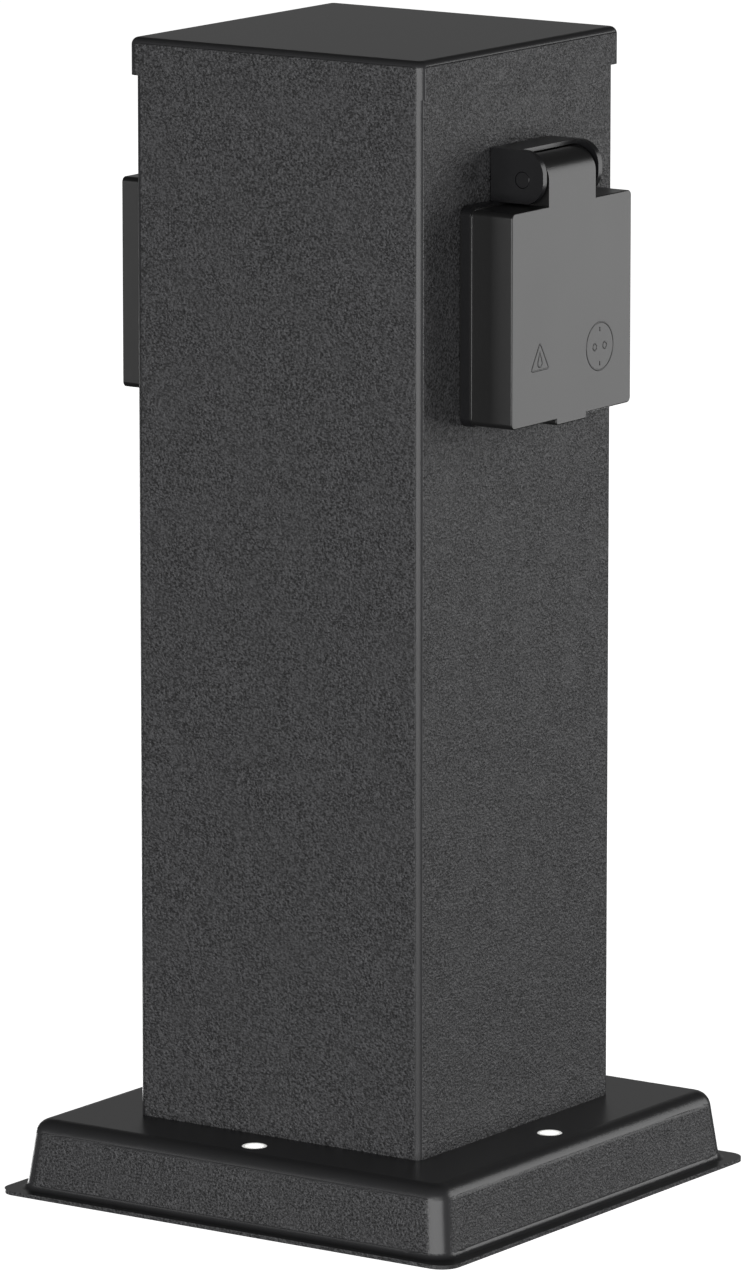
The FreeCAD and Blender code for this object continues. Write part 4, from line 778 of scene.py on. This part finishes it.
class POST_OT_shutter_springs(bpy.types.Operator):
    """Bend each shutter's hairpin spring: one arm in its seat, the other out to its tip"""

    bl_idname = "power_post.shutter_springs"
    bl_label = "Shutter springs"

    def execute(self, context):
        low, high = outlet_box("shutter_spring")
        x, inset = (low.x + high.x) / 2, HAIRPIN_WIRE_R * 0.9
        seat = Vector((x, low.y + inset, high.z - inset))
        bend = Vector((x, HAIRPIN_BEND_Y, HAIRPIN_BEND_Z))
        tip = Vector((x, high.y - inset, low.z + inset))
        bend_start, bend_steps, arm_steps = 1.3, 8, 12
        to_seat, to_tip = (seat - bend).normalized(), (tip - bend).normalized()
        path = [seat]
        for i in range(bend_steps + 1):
            share = i / bend_steps
            path.append(
                bend + to_seat * bend_start * (1 - share) ** 2 + to_tip * bend_start * share ** 2)
        corner = path[-1]
        path += [corner.lerp(tip, (i + 1) / arm_steps) for i in range(arm_steps)]
        for name, side in SIDES:
            matrix = outlet_frame(side)
            bm = bmesh.new()
            sweep(bm, path, circle(HAIRPIN_WIRE_R, 10), Vector((1, 0, 0)))
            bm.transform(matrix)
            spring = finish_mesh(f"{name}_shutter_hairpin", bm)
            fit(spring, "spring_steel", f"{name}_shutter_spring")
            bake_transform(spring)
        return {"FINISHED"}


class POST_OT_lid_signs(bpy.types.Operator):
    """Raise two plain signs on each lid: a splash drop in a triangle, and a round outlet"""

    bl_idname = "power_post.lid_signs"
    bl_label = "Lid signs"

    def execute(self, context):
        sizes = context.scene.post_pieces
        half, proud = sizes.sign_line / 2 / MM, sizes.sign_proud / MM
        section = [(-half, -SIGN_ROOT), (-half, 0), (-half * 0.5, proud)]
        section += [(-across, up) for across, up in reversed(section)]
        front = outlet_box("lid")[1].x
        drop = [(0, DROP_TIP)]
        for i in range(15):
            a = math.radians(30 - 240 * i / 14)
            drop.append((DROP_BELLY_R * math.cos(a), DROP_BELLY_R * math.sin(a) + DROP_BELLY_Z))
        lines = [  # an outline, where its middle is across the lid, and whether it is closed
            (softened(TRIANGLE, TRIANGLE_CORNER), DROP_SIGN_Y, True),
            (drop, DROP_SIGN_Y, True),
            (circle(PLUG_R, 64), PLUG_SIGN_Y, True),
        ]
        for way in (-1, 1):
            lines.append((circle(PLUG_PIN_R, 20), PLUG_SIGN_Y + way * PLUG_PIN_Y, True))
        for way in (-1, 1):
            lines.append(([(0, way * z) for z in PLUG_TICK], PLUG_SIGN_Y, False))
        for name, side in SIDES:
            bm = bmesh.new()
            for points, y, closed in lines:
                path = [Vector((front, y + a, SIGN_Z + b)) for a, b in points]
                sweep(bm, path, section, Vector((1, 0, 0)), closed)
            bm.transform(outlet_frame(side))
            fit(finish_mesh(f"{name}_lid_signs", bm), "lid_plastic", body=f"{name}_lid")
        return {"FINISHED"}


class POST_OT_ground_sleeves(bpy.types.Operator):
    """Set a pale nylon sleeve in each of the foot's four ground-screw holes"""

    bl_idname = "power_post.ground_sleeves"
    bl_label = "Ground-screw sleeves"

    def execute(self, context):
        low, high = (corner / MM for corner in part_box("anchor_sleeves"))
        height = high.z - low.z
        foot, neck, bore, thick = SLEEVE_FOOT_R, SLEEVE_R, SLEEVE_BORE_R, SLEEVE_FOOT_THICK
        profile = [
            (bore, 0.4), (bore + 0.3, 0.0),
            (foot - 0.4, 0.0), (foot, 0.4), (foot, thick - 0.4), (foot - 0.4, thick),
            (neck + 0.5, thick), (neck, thick + 0.5), (neck, height - 0.25), (neck - 0.2, height),
            (bore + 0.25, height), (bore, height - 0.3),
        ]
        middles = ((low.x + foot, 0), (high.x - foot, 0), (0, low.y + foot), (0, high.y - foot))
        bm = bmesh.new()
        for x, y in middles:
            turn(bm, profile, IN_MM @ Matrix.Translation((x, y, low.z)), 48, ring=True)
        fit(finish_mesh("ground_sleeves", bm), "light_nylon", "anchor_sleeves", body="root")
        return {"FINISHED"}


class POST_OT_cable_entry(bpy.types.Operator):
    """Mould the ribbed rubber grommet that the supply cable comes up through"""

    bl_idname = "power_post.cable_entry"
    bl_label = "Cable entry"

    def execute(self, context):
        low, high = (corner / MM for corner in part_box("cable_grommet"))
        height, rim = high.z - low.z, high.x
        groove, lip, bore = rim - GROMMET_GROOVE_DEPTH, GROMMET_LIP, GROMMET_BORE_R
        edge, wall, ribs = 0.4, 1.2, 4
        upper = 2 * lip + FOOT_SHEET
        profile = [(bore, 0.3), (bore + 0.3, 0)]
        for bottom in (0, lip + FOOT_SHEET):
            top = bottom + lip
            profile += [
                (rim - edge, bottom), (rim, bottom + edge), (rim, top - edge), (rim - edge, top),
            ]
            if bottom == 0:
                profile += [(groove, lip), (groove, lip + FOOT_SHEET)]
        profile.append((groove - 0.9, upper))
        pitch = (height - upper) / ribs
        for i in range(ribs):
            z = upper + (height - upper) * i / ribs
            r = groove - 1.0 - (groove - 1.0 - bore - wall) * i / ribs
            for inset, share in ((0.35, 0.2), (0.05, 0.45), (0.35, 0.8)):
                profile.append((r - inset, z + pitch * share))
        profile += [(bore + 0.8, height), (bore + 0.2, height), (bore, height - 0.25)]
        matrix = Matrix.Translation((0, 0, low.z * MM)) @ IN_MM
        piece = lathe("cable_entry_rubber", profile, matrix, 72, ring=True)
        fit(piece, "rubber", "cable_grommet", body="root")
        return {"FINISHED"}


class POST_PT_panel(bpy.types.Panel):
    """Sizes, colours and the pieces' buttons"""

    bl_idname = "POST_PT_panel"
    bl_label = "Power post"
    bl_space_type = "VIEW_3D"
    bl_region_type = "UI"
    bl_category = "Power post"

    def draw(self, context):
        scene = context.scene
        for group in (scene.post_stage, scene.post_finish, scene.post_pieces):
            for name in group.__annotations__:
                self.layout.prop(group, name)
        for operator in OPERATORS:
            self.layout.operator(operator.bl_idname)


OPERATORS = (
    POST_OT_stage,
    POST_OT_finishes,
    POST_OT_flange_gaskets,
    POST_OT_lid_seals,
    POST_OT_lid_springs,
    POST_OT_shutter_springs,
    POST_OT_lid_signs,
    POST_OT_ground_sleeves,
    POST_OT_cable_entry,
)
CLASSES = (StageSizes, FinishColours, PieceSizes, *OPERATORS, POST_PT_panel)


def register():
    for cls in CLASSES:
        bpy.utils.register_class(cls)
    bpy.types.Scene.post_stage = bpy.props.PointerProperty(type=StageSizes)
    bpy.types.Scene.post_finish = bpy.props.PointerProperty(type=FinishColours)
    bpy.types.Scene.post_pieces = bpy.props.PointerProperty(type=PieceSizes)


def unregister():
    del bpy.types.Scene.post_pieces
    del bpy.types.Scene.post_finish
    del bpy.types.Scene.post_stage
    for cls in reversed(CLASSES):
        bpy.utils.unregister_class(cls)


def main():
    register()
    for operator in OPERATORS:
        group, name = operator.bl_idname.split(".")
        getattr(getattr(bpy.ops, group), name)()


if __name__ == "__main__":
    main()
